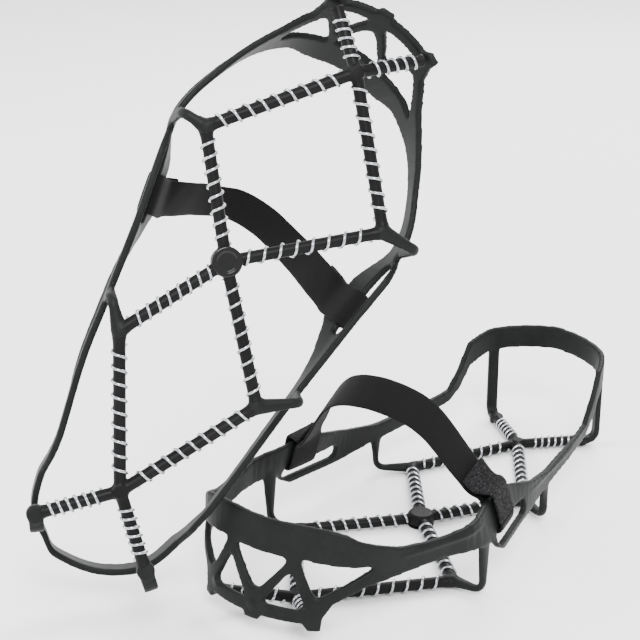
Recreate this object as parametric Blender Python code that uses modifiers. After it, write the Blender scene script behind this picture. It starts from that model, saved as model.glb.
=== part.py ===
"""A pair of slip-on ice cleats: rubber harnesses whose sole cords carry wound steel traction coils.

Each cleat is modelled in its own frame: +X to the wearer's left, +Y to the heel, +Z up, with the
tread on z = 0. One stands on the ground; the other is propped up with its sole turned outwards.
"""

import math

import bmesh
import bpy
from mathutils import Matrix, Vector

# --- driving dimensions, metres ------------------------------------------------------------------
GAP = 0.0003                    # running gap between neighbouring solids

COIL_DIAMETER = 0.0080          # over the wire
WIRE_DIAMETER = 0.0013
WIRE_SIDES = 4
STEPS_PER_TURN = 8
CORD_DIAMETER = 0.0042
CORD_SIDES = 8
CORD_HEIGHT = COIL_DIAMETER / 2 + GAP

SOLE_LENGTH = 0.3090            # over the harness wall's middle surface, toe to heel
SOLE_WIDTH = 0.1370             # over the same, at the ball of the foot

# Plan positions below are drawn for a sole of this size, and follow SOLE_LENGTH and SOLE_WIDTH.
DRAWN_LENGTH = 0.3090
DRAWN_WIDTH = 0.1370
TOE_NODE_Y = -0.1078            # where the two front diagonals cross
HEEL_NODE_Y = 0.1169            # where the two rear diagonals cross
FRONT_JUNCTION = (0.0490, -0.0495)
REAR_JUNCTION = (0.0370, 0.0522)
HEEL_CORNER = (0.0290, 0.1440)
TOE_CORNER_RUN = 0.0320         # along the wall from the toe's middle to each toe corner
TOE_SPRING = 0.0080             # a boot's toe curls up, and its corner cords with it

PAD_DIAMETER = 0.0085           # moulded pad where cords meet a side bracket
COIL_STAND_OFF = 0.0061         # from a pad's middle to the coils round it
PAD_THICKNESS = 0.0050
HUB_DIAMETER = 0.0146
HUB_BOTTOM = 0.0019
HUB_TOP = 0.0083
HUB_RECESS_DIAMETER = 0.0090
HUB_CAP_BOTTOM = 0.0004
HUB_CAP_RIM = 0.0006

WALL_THICKNESS = 0.0030         # rubber wall of the harness
BRACKET_WIDTH = 0.0065
BRACKET_TWIST = math.radians(20)
BRACKET_RISE_RADIUS = 0.0060
FRONT_BRACKET_RUN = 0.1290      # along the wall from the toe's middle
REAR_BRACKET_RUN = 0.2200
HEEL_BRACKET_RUN = 0.3330

SLOT_BOTTOM = 0.0255
SLOT_HEIGHT = 0.0080
BAR_HEIGHT = 0.0150             # the rail above the slot where the strap wraps it
LOWER_STRAND = 0.0045           # the rail below the slot

TOE_WEB_END_RUN = 0.1000
RAIL_END_RUN = 0.2700

STRAP_WIDTH = 0.0200
STRAP_THICKNESS = 0.0018
BEND_GAP = 0.0012               # between the strap and what it wraps, where both are bent
STRAP_RUN = 0.1515              # where its middle crosses each side rail, at the toe end of its slot
SLOT_CLEARANCE = 0.0025         # beyond the strap's edge
SLOT_START_RUN = STRAP_RUN - STRAP_WIDTH / 2 - SLOT_CLEARANCE   # strap slot in each side rail
SLOT_LENGTH = 0.0440
SLOT_FREE = SLOT_LENGTH - STRAP_WIDTH - 2 * SLOT_CLEARANCE      # how far the strap can slide
STRAP_TAIL_LENGTH = 0.0340
STRAP_ANCHOR_LENGTH = 0.0260

STATION = 0.0045                # spacing of the bends in a curved wall

# Half plan of the harness wall, toe to heel: (half width, y).
PLAN = [
    (0.0000, -0.1440), (0.0240, -0.1400), (0.0420, -0.1270), (0.0530, -0.1060), (0.0620, -0.0780),
    (0.0685, -0.0480), (0.0610, 0.0000), (0.0550, 0.0400), (0.0500, 0.0800), (0.0455, 0.1130),
    (0.0430, 0.1340), (0.0360, 0.1510), (0.0190, 0.1620), (0.0000, 0.1650),
]
TOE_LEAN_FROM_RUN = 0.0200
LEAN_FROM = 0.0050
BAR_LEAN = 0.30                 # the strap tips the rail in above its slot
BAR_LEAN_RUNS = (0.1100, 0.1380, 0.1660, 0.2000)
SKEW_FROM_Y = -0.0350
SKEW_FULL_Y = -0.1350

# One half of the strap's arch, from the rail to the top of the instep, over a bar with its top at
# DRAWN_BAR_TOP; it rises and falls with the bar, and follows the strap along its slot.
DRAWN_BAR_TOP = 0.0485
ARCH = [(0.0520, -0.0320, 0.0530), (0.0440, -0.0360, 0.0645), (0.0370, -0.0400, 0.0760),
        (0.0300, -0.0430, 0.0855), (0.0220, -0.0460, 0.0920), (0.0120, -0.0490, 0.0960),
        (0.0000, -0.0500, 0.0975)]
ARCH_TILT = (math.radians(12), math.radians(36))   # of the strap's face, at the rail and at the top

# Turns of each kind of coil.
TURNS = {"toe": 5, "front": 9, "mid_front": 8, "mid_rear": 8, "rear": 9, "heel": 6}

# How each harness has stretched over its boot.
# The lean is the toe wall's, inwards, as a slope; the insets are the wearer's-right wall's; the
# slide is the strap's towards the heel, as a share of what its slots allow.
STANDING = {"toe_skew": -0.0105, "hub_offset": 0.0, "toe_lean": 0.24, "lean_to_run": 0.0700,
            "toe_inset": 0.0, "side_inset": 0.0, "heel_inset": 0.0, "strap_slide": 0.0}
PROPPED = {"toe_skew": 0.0, "hub_offset": -0.0095, "toe_lean": 0.50, "lean_to_run": 0.1150,
           "toe_inset": 0.0040, "side_inset": 0.0072, "heel_inset": 0.0120, "strap_slide": 0.87}
INSET_FULL_X = 0.0300           # an inset comes in gradually from the middle line to here

PAIR_ORIGIN = (0.02638, 0.024815, -0.00030)   # the standing cleat's origin, so that the pair is centred
PROPPED_ORIGIN = (-0.0290, -0.1188, 0.1758)   # the other cleat's origin, from the first one's
PROPPED_AXIS = (-0.8942, -0.1033, 0.4356)
PROPPED_TURN = math.radians(125.3)

RUBBER = ("rubber_black", (0.035, 0.038, 0.036), 0.55, 0.0)
HUB_GLOSS = ("hub_gloss_black", (0.012, 0.012, 0.013), 0.18, 0.0)
ZINC = ("zinc_steel_wire", (0.62, 0.63, 0.64), 0.30, 1.0)
WEBBING = ("webbing_black", (0.020, 0.020, 0.022), 0.75, 0.0)
LOOP_PILE = ("loop_pile_grey", (0.060, 0.060, 0.062), 0.95, 0.0)


# --- scene helpers -------------------------------------------------------------------------------
def clear_scene():
    for obj in list(bpy.data.objects):
        bpy.data.objects.remove(obj, do_unlink=True)
    for collection in list(bpy.data.collections):
        bpy.data.collections.remove(collection)


def new_collection(name):
    collection = bpy.data.collections.new(name)
    bpy.context.scene.collection.children.link(collection)
    return collection


def material(spec):
    name, colour, roughness, metallic = spec
    found = bpy.data.materials.get(name)
    if found:
        return found
    made = bpy.data.materials.new(name)
    made.use_nodes = True
    shader = made.node_tree.nodes["Principled BSDF"]
    shader.inputs["Base Color"].default_value = (*colour, 1.0)
    shader.inputs["Roughness"].default_value = roughness
    shader.inputs["Metallic"].default_value = metallic
    return made


def add(name, mesh, spec, parent):
    """A visible sub-part under its cleat's empty."""
    mesh.name = name
    mesh.materials.clear()
    mesh.materials.append(material(spec))
    obj = bpy.data.objects.new(name, mesh)
    bpy.data.collections["ice_cleats"].objects.link(obj)
    obj.parent = parent
    return obj


def mesh_from(bm, smooth=False):
    """The mesh of a closed shape, its faces turned outwards."""
    bmesh.ops.recalc_face_normals(bm, faces=bm.faces)
    if bm.calc_volume(signed=True) < 0:
        bmesh.ops.reverse_faces(bm, faces=bm.faces)
    mesh = bpy.data.meshes.new("made")
    bm.to_mesh(mesh)
    bm.free()
    if smooth:
        mesh.shade_smooth()
    return mesh


def evaluated_mesh(obj):
    """The object's mesh after its modifiers, in world space; the object goes away."""
    graph = bpy.context.evaluated_depsgraph_get()
    mesh = bpy.data.meshes.new_from_object(obj.evaluated_get(graph))
    mesh.transform(obj.matrix_world)
    bpy.data.objects.remove(obj, do_unlink=True)
    return mesh


def closed_copy(mesh):
    """An editable copy of a mesh with its coincident points made one; the mesh goes away."""
    bm = bmesh.new()
    bm.from_mesh(mesh)
    bpy.data.meshes.remove(mesh)
    bmesh.ops.remove_doubles(bm, verts=bm.verts, dist=1e-6)
    return bm


def united(meshes):
    """One mesh from several overlapping closed ones."""
    cutters = bpy.data.collections["cutters"]
    base = bpy.data.objects.new("base", meshes[0])
    cutters.objects.link(base)
    others = []
    for mesh in meshes[1:]:
        other = bpy.data.objects.new("other", mesh)
        cutters.objects.link(other)
        others.append(other)
        boolean = base.modifiers.new("join", "BOOLEAN")
        boolean.operation = "UNION"
        boolean.solver = "EXACT"
        boolean.object = other
    bpy.context.view_layer.update()
    joined = evaluated_mesh(base)
    for other in others:
        bpy.data.objects.remove(other, do_unlink=True)
    return joined


# --- the harness wall: a run along the plan, a height, a depth -----------------------------------
def smooth_step(value, low, high):
    share = min(max((value - low) / (high - low), 0.0), 1.0)
    return share * share * (3 - 2 * share)


def sized(point):
    """A drawn plan position, at this sole's length and width."""
    return (point[0] * SOLE_WIDTH / DRAWN_WIDTH, point[1] * SOLE_LENGTH / DRAWN_LENGTH)


def drawn_y(y):
    """Where y lies on the drawn plan."""
    return y * DRAWN_LENGTH / SOLE_LENGTH


def skewed(point, shape):
    """The toe of a worn cleat follows its boot, a little to one side."""
    x, y, z = point
    return Vector((x + shape["toe_skew"] * smooth_step(-drawn_y(y), -SKEW_FROM_Y, -SKEW_FULL_Y), y, z))


def spline(points, steps):
    """Points along a Catmull-Rom curve, its ends continued across the middle line."""
    first = (-points[1][0], points[1][1])
    last = (-points[-2][0], points[-2][1])
    padded = [first] + list(points) + [last]
    out = []
    for k in range(1, len(padded) - 2):
        p0, p1, p2, p3 = padded[k - 1:k + 3]
        for step in range(steps):
            t = step / steps
            out.append(tuple(
                0.5 * (2 * b + (c - a) * t + (2 * a - 5 * b + 4 * c - d) * t * t
                       + (3 * b - a - 3 * c + d) * t ** 3)
                for a, b, c, d in zip(p0, p1, p2, p3)))
    out.append(tuple(padded[-2]))
    return out


PLAN_CURVE = spline(PLAN, 12)
PLAN_RUNS = [0.0]
for here, there in zip(PLAN_CURVE, PLAN_CURVE[1:]):
    PLAN_RUNS.append(PLAN_RUNS[-1] + math.dist(here, there))
HALF_RUN = PLAN_RUNS[-1]


def plan_point(run):
    """(x, y) and the outward normal at a signed run from the toe's middle; +run is the wearer's left."""
    side = 1 if run >= 0 else -1
    run = min(abs(run), 2 * HALF_RUN - abs(run)) if abs(run) > HALF_RUN else abs(run)
    k = 0
    while k < len(PLAN_RUNS) - 2 and PLAN_RUNS[k + 1] < run:
        k += 1
    share = (run - PLAN_RUNS[k]) / (PLAN_RUNS[k + 1] - PLAN_RUNS[k])
    (x0, y0), (x1, y1) = sized(PLAN_CURVE[k]), sized(PLAN_CURVE[k + 1])
    length = math.dist((x0, y0), (x1, y1))
    x = x0 + (x1 - x0) * share
    y = y0 + (y1 - y0) * share
    return Vector((side * x, y)), Vector((side * (y1 - y0) / length, -(x1 - x0) / length))


def strap_run(shape):
    """Where the strap's middle crosses each rail, once it has slid along its slot."""
    return STRAP_RUN + shape["strap_slide"] * SLOT_FREE


def bar_share(run, shape):
    """How far the strap's pull tips the side rail inwards, from 0 to 1."""
    run = abs(run) - shape["strap_slide"] * SLOT_FREE
    rising = smooth_step(run, BAR_LEAN_RUNS[0], BAR_LEAN_RUNS[1])
    falling = smooth_step(run, BAR_LEAN_RUNS[2], BAR_LEAN_RUNS[3])
    return rising * (1 - falling)


def drawn_in(x, y, shape):
    """x of a wall point where the wearer's-right wall sits closer in."""
    inset = shape["toe_inset"]
    inset += (shape["side_inset"] - shape["toe_inset"]) * smooth_step(drawn_y(y), -0.1200, -0.0600)
    inset += (shape["heel_inset"] - shape["side_inset"]) * smooth_step(drawn_y(y), 0.0600, 0.1250)
    inset, full = sized((inset, 0))[0], sized((INSET_FULL_X, 0))[0]
    return x + inset * smooth_step(-x, 0.0, full)


def wall_point(run, height, depth, shape):
    """A point of the wall; depth is outwards from its middle surface."""
    crossed = abs(run) > HALF_RUN
    base, normal = plan_point(math.copysign(2 * HALF_RUN - abs(run), -run) if crossed else run)
    lean = shape["toe_lean"] * (1 - smooth_step(abs(run), TOE_LEAN_FROM_RUN, shape["lean_to_run"]))
    out = depth - lean * (height - LEAN_FROM)
    out -= BAR_LEAN * bar_share(run, shape) * max(height - SLOT_BOTTOM, 0.0)
    y = base.y + normal.y * out
    x = drawn_in(base.x + normal.x * out, base.y, shape)
    return skewed((x, y, height), shape)


def rounded(corners, radius, steps=2):
    """A polygon with its corners eased; a radius may be one value or one for each corner."""
    out = []
    count = len(corners)
    radii = radius if isinstance(radius, (list, tuple)) else [radius] * count
    for k in range(count):
        here = Vector(corners[k])
        before = Vector(corners[k - 1]) - here
        after = Vector(corners[(k + 1) % count]) - here
        if radii[k] <= 0:
            out.append(here)
            continue
        reach = min(radii[k], before.length * 0.45, after.length * 0.45)
        start = here + before.normalized() * reach
        end = here + after.normalized() * reach
        for step in range(steps + 1):
            t = step / steps
            out.append(start * (1 - t) ** 2 + here * 2 * t * (1 - t) + end * t * t)
    return out


def bent_panel(outline, windows, shape):
    """A flat panel, drawn as (run, height), cut with windows and bent round the harness wall."""
    curve = bpy.data.curves.new("panel", "CURVE")
    curve.dimensions = "2D"
    curve.fill_mode = "BOTH"
    curve.extrude = WALL_THICKNESS / 2
    for loop in [outline] + windows:
        line = curve.splines.new("POLY")
        line.points.add(len(loop) - 1)
        for point, (run, height) in zip(line.points, loop):
            point.co = (run, height, 0.0, 1.0)
        line.use_cyclic_u = True
    obj = bpy.data.objects.new("panel", curve)
    bpy.data.collections["cutters"].objects.link(obj)
    bpy.context.view_layer.update()
    bm = closed_copy(evaluated_mesh(obj))
    bpy.data.curves.remove(curve)
    bmesh.ops.dissolve_limit(bm, angle_limit=0.01, verts=bm.verts, edges=bm.edges)
    runs = [v.co.x for v in bm.verts]
    cut = math.ceil(min(runs) / STATION) * STATION
    while cut < max(runs):
        everything = list(bm.verts) + list(bm.edges) + list(bm.faces)
        bmesh.ops.bisect_plane(bm, geom=everything, dist=2e-4, plane_co=(cut, 0, 0), plane_no=(1, 0, 0))
        cut += STATION
    bmesh.ops.triangulate(bm, faces=bm.faces)
    for vertex in bm.verts:
        run, height, depth = vertex.co
        vertex.co = wall_point(run, height, depth, shape)
    return mesh_from(bm)


# --- the small shapes ----------------------------------------------------------------------------
def cylinder(start, end, diameter, sides):
    start = Vector(start)
    end = Vector(end)
    bm = bmesh.new()
    length = (end - start).length
    turn = (end - start).to_track_quat("Z", "Y").to_matrix().to_4x4()
    place = Matrix.Translation((start + end) / 2) @ turn
    bmesh.ops.create_cone(bm, cap_ends=True, segments=sides, radius1=diameter / 2, radius2=diameter / 2,
                          depth=length, matrix=place)
    return mesh_from(bm)


def ribbon(stations, thickness):
    """A strap: (middle point, half-width vector) stations, made a solid of the given thickness."""
    bm = bmesh.new()
    rows = []
    for middle, half in stations:
        rows.append((bm.verts.new(Vector(middle) - Vector(half)), bm.verts.new(Vector(middle) + Vector(half))))
    for low, high in zip(rows, rows[1:]):
        bm.faces.new((low[0], low[1], high[1], high[0]))
    mesh = bpy.data.meshes.new("ribbon")
    bm.to_mesh(mesh)
    bm.free()
    obj = bpy.data.objects.new("ribbon", mesh)
    bpy.data.collections["cutters"].objects.link(obj)
    solid = obj.modifiers.new("thickness", "SOLIDIFY")
    solid.thickness = thickness
    solid.offset = 0
    solid.use_even_offset = True
    bpy.context.view_layer.update()
    return mesh_from(closed_copy(evaluated_mesh(obj)))


def coil_mesh(length, turns, right_handed):
    """An open-wound spring along local +Z, from z = 0 to its length."""
    curve = bpy.data.curves.new("coil", "CURVE")
    curve.dimensions = "3D"
    curve.bevel_depth = WIRE_DIAMETER / 2
    curve.bevel_resolution = 0
    curve.use_fill_caps = True
    radius = (COIL_DIAMETER - WIRE_DIAMETER) / 2
    rise = length - WIRE_DIAMETER
    count = turns * STEPS_PER_TURN
    line = curve.splines.new("POLY")
    line.points.add(count)
    hand = 1 if right_handed else -1
    for k, point in enumerate(line.points):
        angle = hand * 2 * math.pi * k / STEPS_PER_TURN
        z = WIRE_DIAMETER / 2 + rise * k / count
        point.co = (radius * math.cos(angle), radius * math.sin(angle), z, 1.0)
    obj = bpy.data.objects.new("coil", curve)
    bpy.data.collections["cutters"].objects.link(obj)
    bpy.context.view_layer.update()
    bm = closed_copy(evaluated_mesh(obj))
    bpy.data.curves.remove(curve)
    return mesh_from(bm, smooth=True)


# --- one cleat -----------------------------------------------------------------------------------
def junctions(shape):
    """The crossing points and ends of the sole cords, by name."""
    points = {"toe": skewed((*sized((0, TOE_NODE_Y)), CORD_HEIGHT), shape),
              "hub": Vector((shape["hub_offset"], 0, CORD_HEIGHT)),
              "heel": Vector((*sized((0, HEEL_NODE_Y)), CORD_HEIGHT))}
    for side, sign in (("l", 1), ("r", -1)):
        front, rear, heel = [sized((sign * x, y)) for x, y in (FRONT_JUNCTION, REAR_JUNCTION, HEEL_CORNER)]
        points["front_" + side] = skewed((*front, CORD_HEIGHT), shape)
        points["rear_" + side] = Vector((*rear, CORD_HEIGHT))
        points["heel_corner_" + side] = Vector((*heel, CORD_HEIGHT))
        wall = wall_point(sign * TOE_CORNER_RUN, CORD_HEIGHT + TOE_SPRING, 0, shape)
        inward = (points["toe"] - wall).normalized()
        points["toe_corner_" + side] = wall + inward * (WALL_THICKNESS / 2 + CORD_DIAMETER / 2 + GAP)
    return points


def cross_meshes(points, centre, ends, trim):
    """The cords of one crossing, each stopped short of what it runs to."""
    middle = points[centre]
    meshes = []
    for name in ends:
        end = points[name]
        way = (end - middle).normalized()
        stop = end - way * trim[name.rstrip("lr").rstrip("_")]
        meshes.append(cylinder(middle - way * CORD_DIAMETER / 4, stop, CORD_DIAMETER, CORD_SIDES))
    return meshes


def crossing_boss(middle, diameter, bottom, top, sides=12):
    return cylinder((middle.x, middle.y, bottom), (middle.x, middle.y, top), diameter, sides)


def build_crosses(prefix, points, parent):
    pad = PAD_DIAMETER / 2 + GAP
    trim = {"toe_corner": 0.0, "front": pad, "rear": pad, "heel_corner": pad}
    low = CORD_HEIGHT - CORD_DIAMETER * 0.55
    high = CORD_HEIGHT + CORD_DIAMETER * 0.55
    for centre, ends in (("toe", ("toe_corner_l", "toe_corner_r", "front_l", "front_r")),
                         ("hub", ("front_l", "front_r", "rear_l", "rear_r")),
                         ("heel", ("rear_l", "rear_r", "heel_corner_l", "heel_corner_r"))):
        meshes = cross_meshes(points, centre, ends, trim)
        if centre == "hub":
            meshes.insert(0, crossing_boss(points[centre], HUB_DIAMETER, HUB_BOTTOM, HUB_TOP, 24))
        else:
            meshes.insert(0, crossing_boss(points[centre], CORD_DIAMETER * 1.5, low, high))
        add(prefix + centre + "_cross", united(meshes), RUBBER, parent)


def build_hub_cap(prefix, points, parent):
    """A glossy disc with a raised rim, let into the tread side of the hub."""
    outer = HUB_DIAMETER / 2
    recess = HUB_RECESS_DIAMETER / 2
    top = HUB_BOTTOM - GAP
    profile = [(0.0, HUB_CAP_BOTTOM + HUB_CAP_RIM), (recess, HUB_CAP_BOTTOM + HUB_CAP_RIM),
               (recess + HUB_CAP_RIM, HUB_CAP_BOTTOM), (outer - HUB_CAP_RIM / 2, HUB_CAP_BOTTOM),
               (outer, HUB_CAP_BOTTOM + HUB_CAP_RIM / 2), (outer, top), (0.0, top)]
    bm = bmesh.new()
    verts = [bm.verts.new((x, 0, z)) for x, z in profile]
    edges = [bm.edges.new(pair) for pair in zip(verts, verts[1:])]
    bmesh.ops.spin(bm, geom=verts + edges, cent=(0, 0, 0), axis=(0, 0, 1), angle=2 * math.pi, steps=24)
    bmesh.ops.remove_doubles(bm, verts=bm.verts, dist=1e-6)
    cap = add(prefix + "hub_cap", mesh_from(bm, smooth=True), HUB_GLOSS, parent)
    cap.location = (points["hub"].x, points["hub"].y, 0)


def build_coils(prefix, points, parent):
    """Twelve springs, each threaded on one stretch of cord."""
    pad = COIL_STAND_OFF
    runs = (("toe", "toe", "toe_corner", 0.0062, 0.0040, False), ("front", "toe", "front", 0.0062, pad, True),
            ("mid_front", "hub", "front", HUB_DIAMETER / 2 + 2 * GAP, pad, True),
            ("mid_rear", "hub", "rear", HUB_DIAMETER / 2 + 2 * GAP, pad, False),
            ("rear", "heel", "rear", 0.0080, pad, False), ("heel", "heel", "heel_corner", 0.0080, pad, True))
    for kind, start, end, from_start, from_end, right_handed in runs:
        for side in ("l", "r"):
            a = points[start]
            b = points[end + "_" + side]
            way = (b - a).normalized()
            length = (b - a).length - from_start - from_end
            handed = right_handed if side == "r" else not right_handed
            coil = add(f"{prefix}coil_{kind}_{side}", coil_mesh(length, TURNS[kind], handed), ZINC, parent)
            coil.location = a + way * from_start
            coil.rotation_euler = way.to_track_quat("Z", "Y").to_euler()


def l_ribbon(start, foot, top, width, twist):
    """Stations of a bracket that runs out flat from start, turns up at foot and ends under top."""
    out = Vector((foot.x - start.x, foot.y - start.y, 0))
    way = out.normalized()
    half = Matrix.Rotation(twist, 3, "Z") @ Vector((-way.y, way.x, 0)) * width / 2
    turn = BRACKET_RISE_RADIUS
    stations = [(start, half)]
    bend = foot - way * turn
    centre = bend + Vector((0, 0, turn))
    steps = 4
    for k in range(steps + 1):
        angle = math.pi / 2 * k / steps
        point = centre + way * turn * math.sin(angle) - Vector((0, 0, turn)) * math.cos(angle)
        stations.append((point, half))
    stations.append((top, half))
    return stations


def build_brackets(prefix, points, shape, parent):
    """The four side brackets: a pad under the sole, an arm round its edge, and a rise to the rail."""
    for place, run in (("front", FRONT_BRACKET_RUN), ("rear", REAR_BRACKET_RUN)):
        for side, sign in (("l", 1), ("r", -1)):
            pad = points[f"{place}_{side}"]
            top = wall_point(sign * run, rail_bottom(run) - GAP, 0, shape)
            foot = Vector((top.x, top.y, pad.z))
            twist = -sign * BRACKET_TWIST if place == "front" else 0.0
            arm = ribbon(l_ribbon(pad, foot, top, BRACKET_WIDTH, twist), WALL_THICKNESS)
            boss = crossing_boss(pad, PAD_DIAMETER, pad.z - PAD_THICKNESS / 2, pad.z + PAD_THICKNESS / 2, 16)
            add(f"{prefix}bracket_{place}_{side}", united([boss, arm]), RUBBER, parent)


RAIL_PROFILE = [
    # run, bottom, top of the harness wall on each side
    (0.0800, 0.0335, 0.0465), (0.1000, 0.0346, 0.0455), (0.1150, 0.0340, 0.0475), (0.1290, 0.0320, 0.0490),
    (0.1900, 0.0240, 0.0385), (0.2200, 0.0230, 0.0325), (0.2700, 0.0235, 0.0310), (0.2900, 0.0245, 0.0318),
    (0.3020, 0.0310, 0.0430), (0.3120, 0.0420, 0.0570), (0.3300, 0.0480, 0.0620), (HALF_RUN, 0.0520, 0.0660),
]


def rail_at(run, column):
    for low, high in zip(RAIL_PROFILE, RAIL_PROFILE[1:]):
        if low[0] <= run <= high[0]:
            share = (run - low[0]) / (high[0] - low[0])
            return low[column] + (high[column] - low[column]) * share
    return RAIL_PROFILE[0][column] if run < RAIL_PROFILE[0][0] else RAIL_PROFILE[-1][column]


def rail_bottom(run):
    return rail_at(run, 1)


def rail_top(run):
    return rail_at(run, 2)


def mirrored(outline):
    return [(-run, height) for run, height in reversed(outline)]


def toe_outline():
    """The toe web's edge, from the middle of its top round the wearer's left to the middle below."""
    end = TOE_WEB_END_RUN - GAP / 2
    half = [(0.0000, 0.0590), (0.0420, 0.0590), (0.0500, 0.0575), (0.0560, 0.0540), (0.0640, 0.0510),
            (0.0760, 0.0470), (0.0890, 0.0458), (end, rail_top(end)), (end, rail_bottom(end)),
            (0.0780, 0.0330), (0.0590, 0.0305), (0.0500, 0.0265), (0.0420, 0.0225), (0.0370, 0.0155),
            (0.0360, 0.0095), (0.0300, 0.0095), (0.0270, 0.0130), (0.0050, 0.0125), (0.0035, 0.0100)]
    return half + [(-run, height) for run, height in reversed(half) if run > 0]


def toe_windows():
    centre = [(-0.0192, 0.0430), (0.0192, 0.0430), (0.0000, 0.0228)]
    upright = [(0.0198, 0.0378), (0.0298, 0.0186), (0.0036, 0.0186)]
    side = [(0.0236, 0.0437), (0.0650, 0.0400), (0.0335, 0.0238)]
    made = [rounded(centre, 0.0055, 3)]
    for window in (upright, side):
        made.append(rounded(window, 0.0048, 3))
        made.append(rounded(mirrored(window), 0.0048, 3))
    return made


def build_toe_web(prefix, shape, parent):
    add(prefix + "toe_web", bent_panel(toe_outline(), toe_windows(), shape), RUBBER, parent)


def rail_outline(shape):
    """A side rail's edge; over the slot it swells into the loop that carries the strap."""
    start = TOE_WEB_END_RUN + GAP / 2
    end = RAIL_END_RUN - GAP / 2
    slot_end = SLOT_START_RUN + SLOT_LENGTH
    slot_top = SLOT_BOTTOM + SLOT_HEIGHT
    strand = SLOT_BOTTOM - LOWER_STRAND
    flat = BRACKET_WIDTH / 2 + 0.0010
    low = [(start, rail_bottom(start))]
    low += [(FRONT_BRACKET_RUN + reach, rail_bottom(FRONT_BRACKET_RUN)) for reach in (-flat, flat)]
    low += [(SLOT_START_RUN, SLOT_BOTTOM), (SLOT_START_RUN + 0.0080, strand), (slot_end, strand)]
    low += [(REAR_BRACKET_RUN + reach, rail_bottom(REAR_BRACKET_RUN)) for reach in (-flat, flat)]
    low.append((end, rail_bottom(end)))
    strap = strap_run(shape)
    falling = max(slot_end - 0.0080, strap + STRAP_WIDTH / 2 + 0.0040)
    high = [(end, rail_top(end)), (REAR_BRACKET_RUN, rail_top(REAR_BRACKET_RUN)),
            (slot_end + 0.0120, rail_top(slot_end + 0.0120)), (falling, slot_top + BAR_HEIGHT - 0.0045),
            (strap + STRAP_WIDTH / 2, slot_top + BAR_HEIGHT),
            (strap - STRAP_WIDTH / 2, slot_top + BAR_HEIGHT + 0.0010), (start, rail_top(start))]
    return low + high


def rail_windows():
    low, high = SLOT_BOTTOM, SLOT_BOTTOM + SLOT_HEIGHT
    a, b = SLOT_START_RUN, SLOT_START_RUN + SLOT_LENGTH
    return [rounded([(a, low), (b, low), (b, high), (a, high)], 0.0040)]


def build_rails(prefix, shape, parent):
    for side in ("l", "r"):
        outline, windows = rail_outline(shape), rail_windows()
        if side == "r":
            outline, windows = mirrored(outline), [mirrored(window) for window in windows]
        add(prefix + "rail_" + side, bent_panel(outline, windows, shape), RUBBER, parent)


def build_heel_band(prefix, points, shape, parent):
    """The wall round the heel, on two arms that run under the sole to the heel corners."""
    runs = [RAIL_END_RUN + GAP / 2] + [row[0] for row in RAIL_PROFILE if row[0] > RAIL_END_RUN]
    halves = [(run, rail_bottom(run)) for run in runs]
    far = [(2 * HALF_RUN - run, rail_bottom(run)) for run in reversed(runs[:-1])]
    low = halves + far
    high = [(2 * HALF_RUN - run, rail_top(run)) for run in runs[:-1]]
    high += [(run, rail_top(run)) for run in reversed(runs)]
    meshes = [bent_panel(low + high, [], shape)]
    for side, sign in (("l", 1), ("r", -1)):
        pad = points["heel_corner_" + side]
        top = wall_point(sign * HEEL_BRACKET_RUN, rail_bottom(HEEL_BRACKET_RUN) + WALL_THICKNESS, 0, shape)
        foot = Vector((top.x, top.y, pad.z))
        meshes.append(ribbon(l_ribbon(pad, foot, top, BRACKET_WIDTH, 0.0), WALL_THICKNESS))
        meshes.append(crossing_boss(pad, PAD_DIAMETER, pad.z - PAD_THICKNESS / 2, pad.z + PAD_THICKNESS / 2, 16))
    add(prefix + "heel_band", united(meshes), RUBBER, parent)


def bar_middle(sign, shape):
    """The middle of the bar above a strap slot, its outward direction, its rise and its length."""
    run = sign * strap_run(shape)
    height = SLOT_BOTTOM + SLOT_HEIGHT + BAR_HEIGHT / 2
    middle = wall_point(run, height, 0, shape)
    up = (wall_point(run, height + 0.001, 0, shape) - middle).normalized()
    outward = (wall_point(run, height, 0.001, shape) - middle).normalized()
    along = up.cross(outward).normalized()
    along = along if along.y > 0 else -along
    return middle, along.cross(up) * (1 if along.cross(up).x * sign > 0 else -1), up, along


def wrap_stations(sign, shape):
    """From the inner side of the bar, under it and just round onto its outer side."""
    middle, outward, up, along = bar_middle(sign, shape)
    half = along * STRAP_WIDTH / 2
    reach = WALL_THICKNESS / 2 + BEND_GAP + STRAP_THICKNESS / 2
    drop = BAR_HEIGHT / 2 + BEND_GAP + STRAP_THICKNESS / 2
    profile = [(-reach, BAR_HEIGHT / 2 + 0.0020), (-reach, 0.0008 - BAR_HEIGHT / 2), (-reach * 0.6, -drop),
               (reach * 0.6, -drop), (reach, 0.0008 - BAR_HEIGHT / 2), (reach, 0.0025 - BAR_HEIGHT / 2)]
    return [(middle + outward * across + up * rise, half) for across, rise in profile]


def arch_stations(shape):
    """The strap's arch over the instep, from the wearer's right to the wearer's left."""
    low, high = ARCH_TILT
    slide = plan_point(strap_run(shape))[0] - plan_point(STRAP_RUN)[0]
    lift = SLOT_BOTTOM + SLOT_HEIGHT + BAR_HEIGHT - DRAWN_BAR_TOP
    left = []
    for x, y, z in ARCH:
        share = (z - ARCH[0][2]) / (ARCH[-1][2] - ARCH[0][2])
        tilt = low + (high - low) * share
        half = Vector((0, math.cos(tilt), math.sin(tilt))) * STRAP_WIDTH / 2
        x, y = sized((x, y))
        left.append((Vector((x + slide.x * (1 - share), y + slide.y, z + lift)), half))
    right = [(Vector((drawn_in(-middle.x, middle.y, shape), middle.y, middle.z)), half)
             for middle, half in left[:-1]]
    return right + list(reversed(left))


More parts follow.
